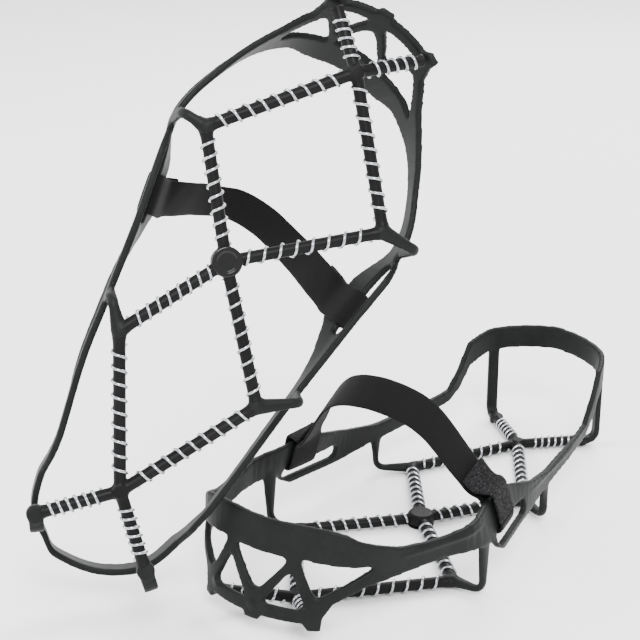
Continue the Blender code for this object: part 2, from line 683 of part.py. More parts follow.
def fold_stations(sign, shape, length):
    """From the fold up the outer side of the bar, then just outside the strap's own arch."""
    fold, half = wrap_stations(sign, shape)[-1]
    middle, outward, up, _ = bar_middle(sign, shape)
    lift = STRAP_THICKNESS + BEND_GAP
    path = [(fold + up * GAP, half), (fold + up * (BAR_HEIGHT + 0.0020), half)]
    arch = arch_stations(shape)
    guide = list(reversed(arch)) if sign > 0 else arch
    for k in range(len(guide) - 1):
        point, turned = guide[k]
        along = (guide[k + 1][0] - point).normalized()
        normal = along.cross(turned).normalized()
        if normal.dot(outward) < 0:
            normal = -normal
        path.append((point + normal * lift, turned))
    stations = [path[0]]
    left = length
    for (here, _), (there, turned) in zip(path, path[1:]):
        step = (there - here).length
        if step >= left:
            stations.append((here.lerp(there, left / step), turned))
            return stations
        stations.append((there, turned))
        left -= step
    return stations


def build_strap(prefix, shape, parent):
    """The instep strap, the tail folded back outside it, and the sewn end on the other side."""
    path = list(reversed(wrap_stations(-1, shape))) + arch_stations(shape) + wrap_stations(1, shape)
    add(prefix + "strap", ribbon(path, STRAP_THICKNESS), WEBBING, parent)
    for name, sign, length, spec in (("strap_tail", 1, STRAP_TAIL_LENGTH, LOOP_PILE),
                                     ("strap_anchor", -1, STRAP_ANCHOR_LENGTH, WEBBING)):
        stations = fold_stations(sign, shape, length)
        _, outward, _, _ = bar_middle(sign, shape)
        hinge = stations[0][0] + outward * STRAP_THICKNESS / 2
        mesh = ribbon([(point - hinge, half) for point, half in stations], STRAP_THICKNESS)
        tail = add(prefix + name, mesh, spec, parent)
        tail.location = hinge


def build_cleat(prefix, shape, parent):
    points = junctions(shape)
    build_toe_web(prefix, shape, parent)
    build_rails(prefix, shape, parent)
    build_heel_band(prefix, points, shape, parent)
    build_brackets(prefix, points, shape, parent)
    build_crosses(prefix, points, parent)
    build_hub_cap(prefix, points, parent)
    build_coils(prefix, points, parent)
    build_strap(prefix, shape, parent)


def main():
    clear_scene()
    new_collection("ice_cleats")
    cutters = new_collection("cutters")
    cutters.hide_render = True
    for prefix, shape in (("left_", STANDING), ("right_", PROPPED)):
        holder = bpy.data.objects.new(prefix + "cleat", None)
        bpy.data.collections["ice_cleats"].objects.link(holder)
        build_cleat(prefix, shape, holder)
        origin = Vector(PAIR_ORIGIN)
        if prefix == "right_":
            turn = Matrix.Rotation(PROPPED_TURN, 3, Vector(PROPPED_AXIS))
            longer = (SOLE_LENGTH - DRAWN_LENGTH) / 2
            # Its heel stays where it is from the other's toe.
            origin = origin + Vector(PROPPED_ORIGIN) - turn @ Vector((0, longer, 0)) - Vector((0, longer, 0))
            holder.rotation_mode = "QUATERNION"
            holder.rotation_quaternion = turn.to_quaternion()
        holder.location = origin


main()
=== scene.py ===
"""A pair of slip-on ice cleats: moulded harnesses, wound traction coils, gloss hubs and instep straps.

Each cleat is worked out in its own frame: +X to the wearer's left, +Y to the heel, +Z up, with the
tread on z = 0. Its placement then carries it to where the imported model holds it.
"""

from __future__ import annotations

import logging
import math
from dataclasses import dataclass
from enum import Enum
from typing import Iterable, Sequence, Union

import bmesh
import bpy
from mathutils import Matrix, Vector


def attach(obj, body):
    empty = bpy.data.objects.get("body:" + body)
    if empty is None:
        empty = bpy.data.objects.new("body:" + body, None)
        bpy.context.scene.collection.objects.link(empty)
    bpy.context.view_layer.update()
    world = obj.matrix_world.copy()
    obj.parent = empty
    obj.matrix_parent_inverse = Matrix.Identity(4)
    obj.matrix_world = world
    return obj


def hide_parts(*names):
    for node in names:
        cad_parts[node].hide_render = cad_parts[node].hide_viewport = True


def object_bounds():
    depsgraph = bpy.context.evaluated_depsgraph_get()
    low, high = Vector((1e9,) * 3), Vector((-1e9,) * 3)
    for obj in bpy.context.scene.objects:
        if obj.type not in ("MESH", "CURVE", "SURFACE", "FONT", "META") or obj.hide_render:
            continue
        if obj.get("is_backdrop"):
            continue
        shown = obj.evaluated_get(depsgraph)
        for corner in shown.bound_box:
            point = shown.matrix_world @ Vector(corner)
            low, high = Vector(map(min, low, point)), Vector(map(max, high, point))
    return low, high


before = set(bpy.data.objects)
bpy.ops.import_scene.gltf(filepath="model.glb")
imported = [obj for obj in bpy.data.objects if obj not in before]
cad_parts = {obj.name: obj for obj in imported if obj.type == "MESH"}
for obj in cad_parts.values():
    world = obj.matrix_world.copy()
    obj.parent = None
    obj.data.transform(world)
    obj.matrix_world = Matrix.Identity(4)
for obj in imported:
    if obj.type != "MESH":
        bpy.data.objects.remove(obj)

LOG = logging.getLogger("ice_cleats")
SIDES = (("l", 1), ("r", -1))
Colour = tuple[float, float, float]
Feed = Union["Signal", float, Sequence[float]]


# --- node building ---------------------------------------------------------------------------------
class Signal:
    """One socket of a node tree, usable in arithmetic."""

    def __init__(self, graph: Graph, socket: bpy.types.NodeSocket) -> None:
        """Wrap a socket.

        Args:
            graph: The graph that new Math nodes go into.
            socket: The output socket that carries the value.
        """
        self.graph = graph
        self.socket = socket

    def other(self, name: str) -> Signal:
        """Another output of the same node."""
        return Signal(self.graph, self.socket.node.outputs[name])

    def math(self, operation: str, left: Feed, right: Feed = 0.0) -> Signal:
        """A Math node on two values."""
        return self.graph.add("ShaderNodeMath", {"operation": operation}, {0: left, 1: right})

    def __add__(self, right: Feed) -> Signal:
        """This value plus another."""
        return self.math("ADD", self, right)

    def __radd__(self, left: Feed) -> Signal:
        """Another value plus this one."""
        return self.math("ADD", left, self)

    def __sub__(self, right: Feed) -> Signal:
        """This value minus another."""
        return self.math("SUBTRACT", self, right)

    def __rsub__(self, left: Feed) -> Signal:
        """Another value minus this one."""
        return self.math("SUBTRACT", left, self)

    def __mul__(self, right: Feed) -> Signal:
        """This value times another."""
        return self.math("MULTIPLY", self, right)

    def __rmul__(self, left: Feed) -> Signal:
        """Another value times this one."""
        return self.math("MULTIPLY", left, self)

    def __truediv__(self, right: Feed) -> Signal:
        """This value divided by another."""
        return self.math("DIVIDE", self, right)

    def sine(self) -> Signal:
        """The sine of this value."""
        return self.math("SINE", self)

    def between(self, low: float, high: float) -> Signal:
        """This value stretched so that low becomes 0 and high 1, held to that range."""
        return self.graph.add("ShaderNodeMapRange", {"clamp": True},
                              {"Value": self, "From Min": low, "From Max": high})


class Graph:
    """A node tree under construction."""

    def __init__(self, tree: bpy.types.NodeTree) -> None:
        """Start on an empty tree."""
        self.tree = tree

    def add(self, kind: str, settings: dict | None = None, feeds: dict | None = None) -> Signal:
        """Add one node.

        Args:
            kind: The node's type.
            settings: Properties set before its sockets; "stops" fills a colour ramp.
            feeds: A value or a Signal for each input, by name or number.

        Returns:
            The node's first output.
        """
        node = self.tree.nodes.new(kind)
        for key, value in (settings or {}).items():
            if key == "stops":
                self._fill_ramp(node, value)
            else:
                setattr(node, key, value)
        for key, value in (feeds or {}).items():
            self.feed(node.inputs[key], value)
        return Signal(self, node.outputs[0] if len(node.outputs) else None)

    @staticmethod
    def _fill_ramp(node: bpy.types.Node, stops: Sequence[tuple[float, Colour]]) -> None:
        """Set a colour ramp's stops."""
        elements = node.color_ramp.elements
        while len(elements) < len(stops):
            elements.new(1.0)
        for element, (place, colour) in zip(elements, stops):
            element.position = place
            element.color = (*colour, 1.0)

    def feed(self, socket: bpy.types.NodeSocket, value: Feed) -> None:
        """Link a Signal to an input, or set the input's own value."""
        if isinstance(value, Signal):
            self.tree.links.new(value.socket, socket)
        elif isinstance(value, tuple) and len(value) == 3 and socket.type == "RGBA":
            socket.default_value = (*value, 1.0)
        else:
            socket.default_value = value

    def mix(self, share: Feed, low: Feed, high: Feed) -> Signal:
        """A colour between two colours."""
        node = self.add("ShaderNodeMix", {"data_type": "RGBA"}, {0: share, 6: low, 7: high}).socket.node
        return Signal(self, node.outputs[2])

    def noise(self, place: Signal, scale: float, detail: float = 2.0, roughness: float = 0.5) -> Signal:
        """Smooth noise from 0 to 1."""
        return self.add("ShaderNodeTexNoise", {}, {"Vector": place, "Scale": scale, "Detail": detail,
                                                   "Roughness": roughness})

    def bump(self, height: Feed, distance: float, strength: float) -> Signal:
        """A normal raised by a height."""
        return self.add("ShaderNodeBump", {}, {"Height": height, "Distance": distance, "Strength": strength})


class Surface(Graph):
    """A material with one Principled shader."""

    def __init__(self, name: str) -> None:
        """Start a material of this name."""
        self.material = bpy.data.materials.new(name)
        self.material.use_nodes = True
        super().__init__(self.material.node_tree)
        self.shader = next(node for node in self.tree.nodes if node.type == "BSDF_PRINCIPLED")

    def dress(self, **feeds: Feed) -> bpy.types.Material:
        """Feed the shader's inputs, named with underscores for spaces, and return the material."""
        for key, value in feeds.items():
            self.feed(self.shader.inputs[key.replace("_", " ")], value)
        return self.material

    def place(self) -> Signal:
        """Object coordinates."""
        return self.add("ShaderNodeTexCoord").other("Object")

    def cloth(self) -> tuple[Signal, Signal]:
        """Metres across and along a woven piece, from its UV map."""
        parts = self.add("ShaderNodeSeparateXYZ", {}, {0: self.add("ShaderNodeTexCoord").other("UV")})
        return parts, parts.other("Y")


# --- finishes --------------------------------------------------------------------------------------
@dataclass(frozen=True)
class RubberFinish:
    """Moulded rubber: charcoal, satin, with a fine eggshell grain and a little dust."""

    name: str
    dark: Colour
    light: Colour
    roughness: float
    grain_per_metre: float = 1500.0
    grain_height: float = 0.00012

    def make(self) -> bpy.types.Material:
        """Build the material."""
        surface = Surface(self.name)
        place = surface.place()
        cloud = surface.noise(place, 55.0, 4.0, 0.6).between(0.30, 0.72)
        dust = surface.noise(place, 420.0, 3.0, 0.65).between(0.52, 0.80)
        grain = surface.noise(place, self.grain_per_metre, 2.0, 0.55)
        flow = surface.noise(place, 160.0, 2.0)
        colour = surface.mix(cloud * 0.7 + dust * 0.3, self.dark, self.light)
        rough = self.roughness + (cloud - 0.5) * 0.10 + dust * 0.06
        normal = surface.bump(grain * 0.7 + flow * 0.3, self.grain_height, 0.35)
        return surface.dress(Base_Color=colour, Roughness=rough, Normal=normal, Specular_IOR_Level=0.10)


@dataclass(frozen=True)
class WireFinish:
    """Bright zinc-plated spring wire with a soft, slightly cloudy shine."""

    name: str
    bright: Colour
    dull: Colour
    roughness: float

    def make(self) -> bpy.types.Material:
        """Build the material."""
        surface = Surface(self.name)
        place = surface.place()
        cloud = surface.noise(place, 240.0, 3.0, 0.6).between(0.32, 0.70)
        fleck = surface.noise(place, 1900.0, 3.0, 0.7)
        colour = surface.mix(cloud, self.bright, self.dull)
        rough = self.roughness + cloud * 0.14 + (fleck - 0.5) * 0.08
        normal = surface.bump(fleck, 0.00004, 0.25)
        return surface.dress(Base_Color=colour, Roughness=rough, Metallic=1.0, Normal=normal)


@dataclass(frozen=True)
class GlossFinish:
    """A smooth gloss moulding with faint swirl marks from handling."""

    name: str
    colour: Colour
    haze: Colour
    roughness: float

    def make(self) -> bpy.types.Material:
        """Build the material."""
        surface = Surface(self.name)
        place = surface.place()
        smear = surface.noise(place, 300.0, 4.0, 0.6).between(0.38, 0.74)
        colour = surface.mix(smear, self.colour, self.haze)
        rough = self.roughness + smear * 0.12
        normal = surface.bump(surface.noise(place, 900.0, 2.0), 0.00003, 0.12)
        return surface.dress(Base_Color=colour, Roughness=rough, Normal=normal,
                             Coat_Weight=smear * -0.2 + 0.3, Coat_Roughness=0.08, Specular_IOR_Level=0.12)


@dataclass(frozen=True)
class WebbingFinish:
    """Close-woven flat webbing: yarns along it, picks across it, and a soft sheen."""

    name: str
    dark: Colour
    light: Colour
    yarn: float = 0.00055
    pick: float = 0.00070
    height: float = 0.00006

    def make(self) -> bpy.types.Material:
        """Build the material."""
        surface = Surface(self.name)
        across, along = surface.cloth()
        drift = (surface.noise(surface.place(), 500.0, 2.0) - 0.5) * 1.4
        warp = (across * (math.tau / (2 * self.yarn)) + drift).sine()
        weft = (along * (math.tau / (2 * self.pick)) + drift).sine()
        weave = warp * weft * 0.5 + 0.5
        fibre = surface.noise(surface.place(), 2600.0, 3.0, 0.7)
        colour = surface.mix(weave * 0.6 + fibre * 0.4, self.dark, self.light)
        rough = 0.92 - weave * 0.22
        normal = surface.bump(weave * 0.8 + fibre * 0.35, self.height, 0.75)
        return surface.dress(Base_Color=colour, Roughness=rough, Normal=normal, Sheen_Weight=0.02,
                             Sheen_Roughness=0.4, Specular_IOR_Level=0.10)


@dataclass(frozen=True)
class PileFinish:
    """Brushed loop pile: black yarn flecked with pale broken loops."""

    name: str
    dark: Colour
    middle: Colour
    pale: Colour

    def make(self) -> bpy.types.Material:
        """Build the material."""
        surface = Surface(self.name)
        place = surface.place()
        clump = surface.noise(place, 520.0, 3.0, 0.65).between(0.40, 0.68)
        fleck = surface.noise(place, 1500.0, 3.0, 0.75).between(0.56, 0.70)
        ground = surface.mix(clump, self.dark, self.middle)
        colour = surface.mix(fleck * 0.75, ground, self.pale)
        rough = 0.97 - clump * 0.1
        normal = surface.bump(surface.noise(place, 1100.0, 4.0, 0.8), 0.0004, 0.8)
        return surface.dress(Base_Color=colour, Roughness=rough, Normal=normal, Sheen_Weight=0.03,
                             Sheen_Roughness=0.5, Specular_IOR_Level=0.10)


@dataclass(frozen=True)
class StudioFinish:
    """A plain pale floor."""

    name: str
    colour: Colour

    def make(self) -> bpy.types.Material:
        """Build the material."""
        surface = Surface(self.name)
        cloud = surface.noise(surface.place(), 3.0, 2.0)
        lighter = tuple(min(1.0, c * 1.02) for c in self.colour)
        return surface.dress(Base_Color=surface.mix(cloud, self.colour, lighter), Roughness=0.85)


class Finish(Enum):
    """Every finish on the cleats, with the record's slot it belongs to."""

    HARNESS = ("rubber_black", RubberFinish("harness_rubber", (0.0034, 0.0040, 0.0038),
                                            (0.0090, 0.0104, 0.0098), 0.50))
    CORD = ("rubber_black", RubberFinish("cord_rubber", (0.0022, 0.0023, 0.0023),
                                         (0.0056, 0.0058, 0.0057), 0.46))
    WIRE = ("zinc_steel_wire", WireFinish("coil_wire", (0.52, 0.54, 0.56), (0.26, 0.27, 0.29), 0.15))
    HUB = ("hub_gloss_black", GlossFinish("hub_gloss", (0.0016, 0.0016, 0.0018),
                                          (0.0040, 0.0042, 0.0046), 0.16))
    WEBBING = ("webbing_black", WebbingFinish("strap_webbing", (0.0016, 0.0016, 0.0018),
                                              (0.0060, 0.0060, 0.0064)))
    THREAD = ("webbing_black", WebbingFinish("strap_thread", (0.010, 0.010, 0.011),
                                             (0.030, 0.030, 0.032), 0.0003))
    PILE = ("loop_pile_grey", PileFinish("strap_pile", (0.0030, 0.0030, 0.0033), (0.012, 0.012, 0.013),
                                         (0.10, 0.10, 0.105)))

    @property
    def slot(self) -> str:
        """The record's material slot."""
        return self.value[0]


class Palette:
    """The finishes, each made once."""

    def __init__(self) -> None:
        """Make every finish."""
        self.made = {finish: finish.value[1].make() for finish in Finish}

    def __getitem__(self, finish: Finish) -> bpy.types.Material:
        """The material of a finish."""
        return self.made[finish]


# --- shapes ----------------------------------------------------------------------------------------
def smooth_step(value: float, low: float, high: float) -> float:
    """A share that eases from 0 at low to 1 at high."""
    share = min(max((value - low) / (high - low), 0.0), 1.0)
    return share * share * (3 - 2 * share)


def new_object(name: str, mesh: bpy.types.Mesh,
               material: bpy.types.Material | None = None) -> bpy.types.Object:
    """Show a mesh.

    Args:
        name: The name of the new object.
        mesh: What it shows.
        material: Its one material, if it gets one here.

    Returns:
        The object, at the origin.
    """
    obj = bpy.data.objects.new(name, mesh)
    bpy.context.scene.collection.objects.link(obj)
    if material is not None:
        mesh.materials.clear()
        mesh.materials.append(material)
    return obj


def mesh_of(name: str, bm: bmesh.types.BMesh, smooth: bool = True) -> bpy.types.Mesh:
    """Turn a bmesh into a mesh whose faces point outwards.

    Args:
        name: The name of the new mesh.
        bm: The faces, which this uses up.
        smooth: Whether the faces are shaded smooth.

    Returns:
        The mesh.
    """
    bmesh.ops.recalc_face_normals(bm, faces=bm.faces)
    if bm.calc_volume(signed=True) < 0:
        bmesh.ops.reverse_faces(bm, faces=bm.faces)
    mesh = bpy.data.meshes.new(name)
    bm.to_mesh(mesh)
    bm.free()
    for polygon in mesh.polygons:
        polygon.use_smooth = smooth
    return mesh


def evaluated(obj: bpy.types.Object) -> bpy.types.Mesh:
    """Take what an object's modifiers make.

    Args:
        obj: The object that carries them.

    Returns:
        A plain mesh.
    """
    graph = bpy.context.evaluated_depsgraph_get()
    graph.update()
    return bpy.data.meshes.new_from_object(obj.evaluated_get(graph), depsgraph=graph)


def drop(obj: bpy.types.Object) -> None:
    """Remove a helper object and its mesh."""
    mesh = obj.data
    bpy.data.objects.remove(obj)
    if mesh.users == 0:
        bpy.data.meshes.remove(mesh)


def tube(bm: bmesh.types.BMesh, path: Sequence[Vector], radii: Sequence[float], sides: int) -> None:
    """Add a closed round tube along a path.

    Args:
        bm: The mesh to add to.
        path: The points of its middle line.
        radii: Its radius at each point.
        sides: The number of its sides.
    """
    rings = []
    spare = Vector((0, 0, 1)) if abs((path[1] - path[0]).normalized().z) < 0.9 else Vector((1, 0, 0))
    for k, (point, radius) in enumerate(zip(path, radii)):
        way = (path[min(k + 1, len(path) - 1)] - path[max(k - 1, 0)]).normalized()
        side = way.cross(spare).normalized()
        spare = side.cross(way)
        turns = [math.tau * n / sides for n in range(sides)]
        rings.append([bm.verts.new(point + (side * math.cos(a) + spare * math.sin(a)) * radius)
                      for a in turns])
    for low, high in zip(rings, rings[1:]):
        for n in range(sides):
            bm.faces.new((low[n], low[(n + 1) % sides], high[(n + 1) % sides], high[n]))
    bm.faces.new(list(reversed(rings[0])))
    bm.faces.new(rings[-1])


def limb(bm: bmesh.types.BMesh, path: Sequence[Vector], halves: Sequence[Vector], depths: Sequence[float],
         sides: int) -> None:
    """Add a closed oval tube along a path.

    Args:
        bm: The mesh to add to.
        path: The points of its middle line.
        halves: Half its width at each point, as a vector across the path.
        depths: Half its thickness at each point.
        sides: The number of its sides.
    """
    rings = []
    for k, (point, half, depth) in enumerate(zip(path, halves, depths)):
        way = path[min(k + 1, len(path) - 1)] - path[max(k - 1, 0)]
        normal = way.cross(half).normalized()
        angles = [math.tau * n / sides for n in range(sides)]
        rings.append([bm.verts.new(point + half * math.cos(a) + normal * depth * math.sin(a))
                      for a in angles])
    for low, high in zip(rings, rings[1:]):
        for n in range(sides):
            bm.faces.new((low[n], low[(n + 1) % sides], high[(n + 1) % sides], high[n]))
    bm.faces.new(list(reversed(rings[0])))
    bm.faces.new(rings[-1])


def turned(bm: bmesh.types.BMesh, profile: Sequence[tuple[float, float]], middle: Vector,
           steps: int) -> None:
    """Add a solid of revolution about a vertical line through middle.

    Args:
        bm: The mesh to add to.
        profile: Radius and height of each corner; the first and last lie on the axis.
        middle: The point that heights count from.
        steps: Segments in the whole turn.
    """
    poles = [bm.verts.new(middle + Vector((0, 0, profile[end][1]))) for end in (0, -1)]
    rings = []
    for radius, height in profile[1:-1]:
        angles = [math.tau * n / steps for n in range(steps)]
        rings.append([bm.verts.new(middle + Vector((radius * math.cos(a), radius * math.sin(a), height)))
                      for a in angles])
    for n in range(steps):
        following = (n + 1) % steps
        bm.faces.new((poles[0], rings[0][n], rings[0][following]))
        for low, high in zip(rings, rings[1:]):
            bm.faces.new((low[n], high[n], high[following], low[following]))
        bm.faces.new((rings[-1][n], poles[1], rings[-1][following]))


def eased(path: Sequence[Vector], reach: float, steps: int = 5) -> list[Vector]:
    """Round a path's corners.

    Args:
        path: Its points.
        reach: How far from each corner the rounding starts.
        steps: Segments in each rounding.

    Returns:
        The new path, with the same ends.
    """
    out = [path[0]]
    for before, here, after in zip(path, path[1:], path[2:]):
        back = before - here
        on = after - here
        start = here + back.normalized() * min(reach, back.length * 0.48)
        end = here + on.normalized() * min(reach, on.length * 0.48)
        for step in range(steps + 1):
            t = step / steps
            out.append(start * (1 - t) ** 2 + here * 2 * t * (1 - t) + end * t * t)
    out.append(path[-1])
    return out


@dataclass(frozen=True)
class Moulding:
    """How loose solids become one moulding with softened edges."""

    voxel: float
    swell: float
    passes: int

    def cast(self, name: str, bm: bmesh.types.BMesh) -> bpy.types.Mesh:
        """Fuse the solids in a bmesh.

        Args:
            name: The name of the new mesh.
            bm: The solids, which this uses up.

        Returns:
            One smooth mesh that swallows the joints between them.
        """
        blank = new_object(name + "_blank", mesh_of(name + "_blank", bm))
        swell = blank.modifiers.new("swell", "DISPLACE")
        swell.strength = self.swell
        swell.mid_level = 0.0
        fuse = blank.modifiers.new("fuse", "REMESH")
        fuse.mode = "VOXEL"
        fuse.voxel_size = self.voxel
        fuse.use_smooth_shade = True
        soften = blank.modifiers.new("soften", "SMOOTH")
        soften.factor = 0.5
        soften.iterations = self.passes
        mesh = evaluated(blank)
        mesh.name = name
        drop(blank)
        return mesh


# --- the shape of one cleat ------------------------------------------------------------------------
@dataclass(frozen=True)
class Stretch:
    """How one harness has stretched over its boot.

    The insets are the wearer's-right wall's; the slide is the strap's, along its slots to the heel.
    """

    toe_skew: float
    hub_offset: float
    toe_lean: float
    lean_to_run: float
    toe_inset: float
    side_inset: float
    heel_inset: float
    strap_slide: float


@dataclass(frozen=True)
class Placement:
    """Where a cleat's own frame lies in the pair's."""

    origin: Vector
    axis: Vector
    turn: float

    def matrix(self) -> Matrix:
        """The move from the cleat's frame to the pair's."""
        return Matrix.Translation(self.origin) @ Matrix.Rotation(self.turn, 4, self.axis)


@dataclass(frozen=True)
class Sizes:
    """The sizes that both cleats share, in metres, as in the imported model."""

    gap: float = 0.0003
    coil_diameter: float = 0.0080
    wire_diameter: float = 0.0015
    coil_overrun: float = 0.0005
    cord_diameter: float = 0.0042
    cord_swell: float = 0.0060
    toe_node_y: float = -0.1078
    heel_node_y: float = 0.1169
    front_junction: tuple[float, float] = (0.0490, -0.0495)
    rear_junction: tuple[float, float] = (0.0370, 0.0522)
    heel_corner: tuple[float, float] = (0.0290, 0.1440)
    toe_corner_run: float = 0.0320
    toe_spring: float = 0.0080
    pad_radius: float = 0.0034
    coil_stand_off: float = 0.0061
    hub_diameter: float = 0.0146
    hub_bottom: float = 0.0019
    hub_top: float = 0.0083
    hub_recess_diameter: float = 0.0090
    cap_bottom: float = 0.0004
    cap_rim: float = 0.0006
    wall: float = 0.0030
    slot_bottom: float = 0.0255
    slot_height: float = 0.0080
    bar_height: float = 0.0150
    strap_width: float = 0.0200
    strap_thickness: float = 0.0018
    bend_gap: float = 0.0012
    strap_run: float = 0.1515
    tail_length: float = 0.0340
    anchor_length: float = 0.0260
    skew_from_y: float = -0.0350
    skew_full_y: float = -0.1350
    lean_from_run: float = 0.0200
    lean_from_height: float = 0.0050
    bar_lean: float = 0.30
    bar_lean_runs: tuple[float, float, float, float] = (0.1100, 0.1380, 0.1660, 0.2000)
    inset_full_x: float = 0.0300

    @property
    def cord_height(self) -> float:
        """The height of the sole cords' middle."""
        return self.coil_diameter / 2 + self.gap


class Plan:
    """The harness wall, seen from above and followed round from the toe."""

    CORNERS = (
        (0.0000, -0.1440), (0.0240, -0.1400), (0.0420, -0.1270), (0.0530, -0.1060), (0.0620, -0.0780),
        (0.0685, -0.0480), (0.0610, 0.0000), (0.0550, 0.0400), (0.0500, 0.0800), (0.0455, 0.1130),
        (0.0430, 0.1340), (0.0360, 0.1510), (0.0190, 0.1620), (0.0000, 0.1650),
    )
    STEPS = 12

    def __init__(self, sizes: Sizes, stretch: Stretch) -> None:
        """Follow the plan for one stretch of the harness.

        Args:
            sizes: The sizes that both cleats share.
            stretch: How this harness has stretched.
        """
        self.sizes = sizes
        self.stretch = stretch
        self.curve = self._spline()
        self.runs = [0.0]
        for here, there in zip(self.curve, self.curve[1:]):
            self.runs.append(self.runs[-1] + math.dist(here, there))

    def _spline(self) -> list[tuple[float, float]]:
        """Points of a Catmull-Rom curve through the corners."""
        corners = self.CORNERS
        padded = [(-corners[1][0], corners[1][1]), *corners, (-corners[-2][0], corners[-2][1])]
        out = []
        for p0, p1, p2, p3 in zip(padded, padded[1:], padded[2:], padded[3:]):
            for step in range(self.STEPS):
                t = step / self.STEPS
                out.append(tuple(0.5 * (2 * b + (c - a) * t + (2 * a - 5 * b + 4 * c - d) * t * t
                                        + (3 * b - a - 3 * c + d) * t ** 3)
                                 for a, b, c, d in zip(p0, p1, p2, p3)))
        out.append(corners[-1])
        return out

    def skewed(self, x: float, y: float, z: float) -> Vector:
        """A point moved sideways with the toe."""
        share = smooth_step(-y, -self.sizes.skew_from_y, -self.sizes.skew_full_y)
        return Vector((x + self.stretch.toe_skew * share, y, z))

    def drawn_in(self, x: float, y: float) -> float:
        """x of a wall point where the wearer's-right wall sits closer in."""
        stretch = self.stretch
        inset = stretch.toe_inset
        inset += (stretch.side_inset - stretch.toe_inset) * smooth_step(y, -0.1200, -0.0600)
        inset += (stretch.heel_inset - stretch.side_inset) * smooth_step(y, 0.0600, 0.1250)
        return x + inset * smooth_step(-x, 0.0, self.sizes.inset_full_x)

    def at(self, run: float) -> tuple[float, float, float, float]:
        """x, y and outward normal of the plan at a run."""
        side = 1 if run >= 0 else -1
        run = abs(run)
        k = 0
        while k < len(self.runs) - 2 and self.runs[k + 1] < run:
            k += 1
        share = (run - self.runs[k]) / (self.runs[k + 1] - self.runs[k])
        (x0, y0), (x1, y1) = self.curve[k], self.curve[k + 1]
        length = math.dist((x0, y0), (x1, y1))
        x = side * (x0 + (x1 - x0) * share)
        return x, y0 + (y1 - y0) * share, side * (y1 - y0) / length, -(x1 - x0) / length

    def wall(self, run: float, height: float, depth: float = 0.0) -> Vector:
        """A point of the wall.

        Args:
            run: How far along from the toe's middle; positive is the wearer's left.
            height: Above the tread.
            depth: Outwards from the wall's middle surface.

        Returns:
            The point in the cleat's frame.
        """
        sizes = self.sizes
        x, y, across, along = self.at(run)
        lean = self.stretch.toe_lean
        lean *= 1 - smooth_step(abs(run), sizes.lean_from_run, self.stretch.lean_to_run)
        rise, level, fall, end = sizes.bar_lean_runs
        along_bar = abs(run) - self.stretch.strap_slide
        tipped = smooth_step(along_bar, rise, level) * (1 - smooth_step(along_bar, fall, end))
        out = depth - lean * (height - sizes.lean_from_height)
        out -= sizes.bar_lean * tipped * max(height - sizes.slot_bottom, 0.0)
        return self.skewed(self.drawn_in(x + across * out, y), y + along * out, height)

    def junctions(self) -> dict[str, Vector]:
        """The crossing points and ends of the sole cords, by name."""
        sizes = self.sizes
        height = sizes.cord_height
        points = {"toe": self.skewed(0, sizes.toe_node_y, height),
                  "hub": Vector((self.stretch.hub_offset, 0, height)),
                  "heel": Vector((0, sizes.heel_node_y, height))}
        for side, sign in SIDES:
            (front_x, front_y), (rear_x, rear_y) = sizes.front_junction, sizes.rear_junction
            heel_x, heel_y = sizes.heel_corner
            points["front_" + side] = self.skewed(sign * front_x, front_y, height)
            points["rear_" + side] = Vector((sign * rear_x, rear_y, height))
            points["heel_corner_" + side] = Vector((sign * heel_x, heel_y, height))
            wall = self.wall(sign * sizes.toe_corner_run, height + sizes.toe_spring)
            inward = (points["toe"] - wall).normalized()
            clear = sizes.wall / 2 + sizes.cord_diameter / 2 + sizes.gap
            points["toe_corner_" + side] = wall + inward * clear
        return points


